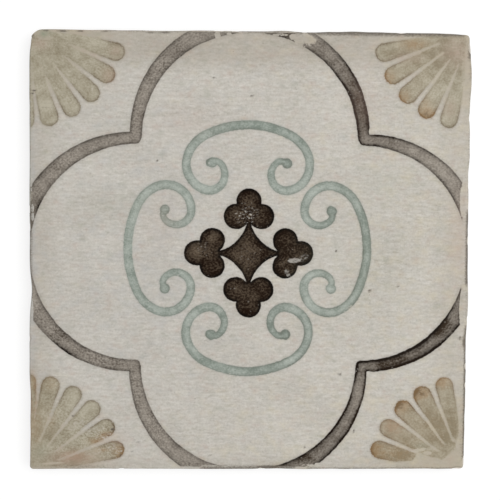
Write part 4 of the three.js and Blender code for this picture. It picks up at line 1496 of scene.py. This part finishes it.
class TILE_OT_stage(bpy.types.Operator):
    """Set the pale floor, the soft light and the camera"""

    bl_idname = "tile.stage"
    bl_label = "Floor, light and camera"

    def execute(self, context):
        self.add_floor()
        self.add_light()
        camera = bpy.data.cameras.new("Camera")
        camera.lens = CAMERA_LENS
        camera.sensor_width = CAMERA_SENSOR
        camera.clip_start, camera.clip_end = (distance * MM for distance in CAMERA_CLIP)
        holder = bpy.data.objects.new("Camera", camera)
        holder.location = Vector(CAMERA_PLACE) * MM
        holder.rotation_euler = [math.radians(lean) for lean in CAMERA_LEAN]
        context.scene.collection.objects.link(holder)
        context.scene.camera = holder
        context.scene.view_settings.view_transform = "Standard"
        return {"FINISHED"}

    def add_floor(self):
        deselect_all()
        bpy.ops.mesh.primitive_plane_add(size=2 * FLOOR_REACH * MM, location=(0, 0, -FLOOR_GAP * MM))
        floor = bpy.context.object
        floor.name = "floor"
        material, tree, shader = new_material("Pale floor", FLOOR_ROUGHNESS)
        shader.inputs["Base Color"].default_value = (FLOOR_GREY, FLOOR_GREY, FLOOR_GREY, 1)
        seen = add_node(tree, "ShaderNodeLightPath", {}).outputs["Is Camera Ray"]
        shader.inputs["Emission Color"].default_value = (1, 1, 1, 1)
        feed(tree, shader.inputs["Emission Strength"], times(tree, seen, FLOOR_GLOW))
        floor.data.materials.append(material)

    def add_light(self):
        world = bpy.data.worlds.new("Soft room")
        bpy.context.scene.world = world
        world.use_nodes = True
        tree = world.node_tree
        path = add_node(tree, "ShaderNodeLightPath", {})
        seen = calc(tree, "MAXIMUM", path.outputs["Is Camera Ray"], path.outputs["Is Glossy Ray"])
        strength = scaled(tree, seen, ROOM_SEEN, ROOM_GLOW)
        background = tree.nodes["Background"]
        background.inputs["Color"].default_value = (1, 1, 1, 1)
        feed(tree, background.inputs["Strength"], strength)
        lamp = bpy.data.lights.new("Window", "AREA")
        lamp.shape = "DISK"
        lamp.size = LAMP_SIZE * MM
        lamp.energy = LAMP_WATTS
        window = bpy.data.objects.new("Window", lamp)
        window.location = Vector(LAMP_PLACE) * MM
        window.rotation_euler = Vector(window.location).to_track_quat("Z", "Y").to_euler()
        bpy.context.scene.collection.objects.link(window)


class TILE_PT_panel(bpy.types.Panel):
    """Lists the tile's pieces, sizes and colours"""

    bl_idname = "TILE_PT_panel"
    bl_label = "Quatrefoil tile"
    bl_space_type = "VIEW_3D"
    bl_region_type = "UI"
    bl_category = "Tile"

    def draw(self, context):
        for operator in OPERATORS:
            self.layout.operator(operator.bl_idname)
        for group in (context.scene.tile_sizes, context.scene.tile_colours):
            column = self.layout.column()
            for name in group.__annotations__:
                column.prop(group, name)


OPERATORS = (
    TILE_OT_clay_body,
    TILE_OT_ground_coat,
    TILE_OT_band,
    TILE_OT_scrolls,
    TILE_OT_cross,
    TILE_OT_fans,
    TILE_OT_stage,
)
CLASSES = (TileSizes, TileColours, *OPERATORS, TILE_PT_panel)


def register():
    for item in CLASSES:
        bpy.utils.register_class(item)
    bpy.types.Scene.tile_sizes = PointerProperty(type=TileSizes)
    bpy.types.Scene.tile_colours = PointerProperty(type=TileColours)


def unregister():
    del bpy.types.Scene.tile_colours
    del bpy.types.Scene.tile_sizes
    for item in reversed(CLASSES):
        bpy.utils.unregister_class(item)


def main():
    register()
    make_stain_group()
    make_ground_group()
    make_film_group()
    make_pigment_group()
    bpy.ops.tile.clay_body()
    bpy.ops.tile.ground_coat()
    bpy.ops.tile.band()
    bpy.ops.tile.scrolls()
    bpy.ops.tile.cross()
    bpy.ops.tile.fans()
    bpy.ops.tile.stage()


if __name__ == "__main__":
    main()
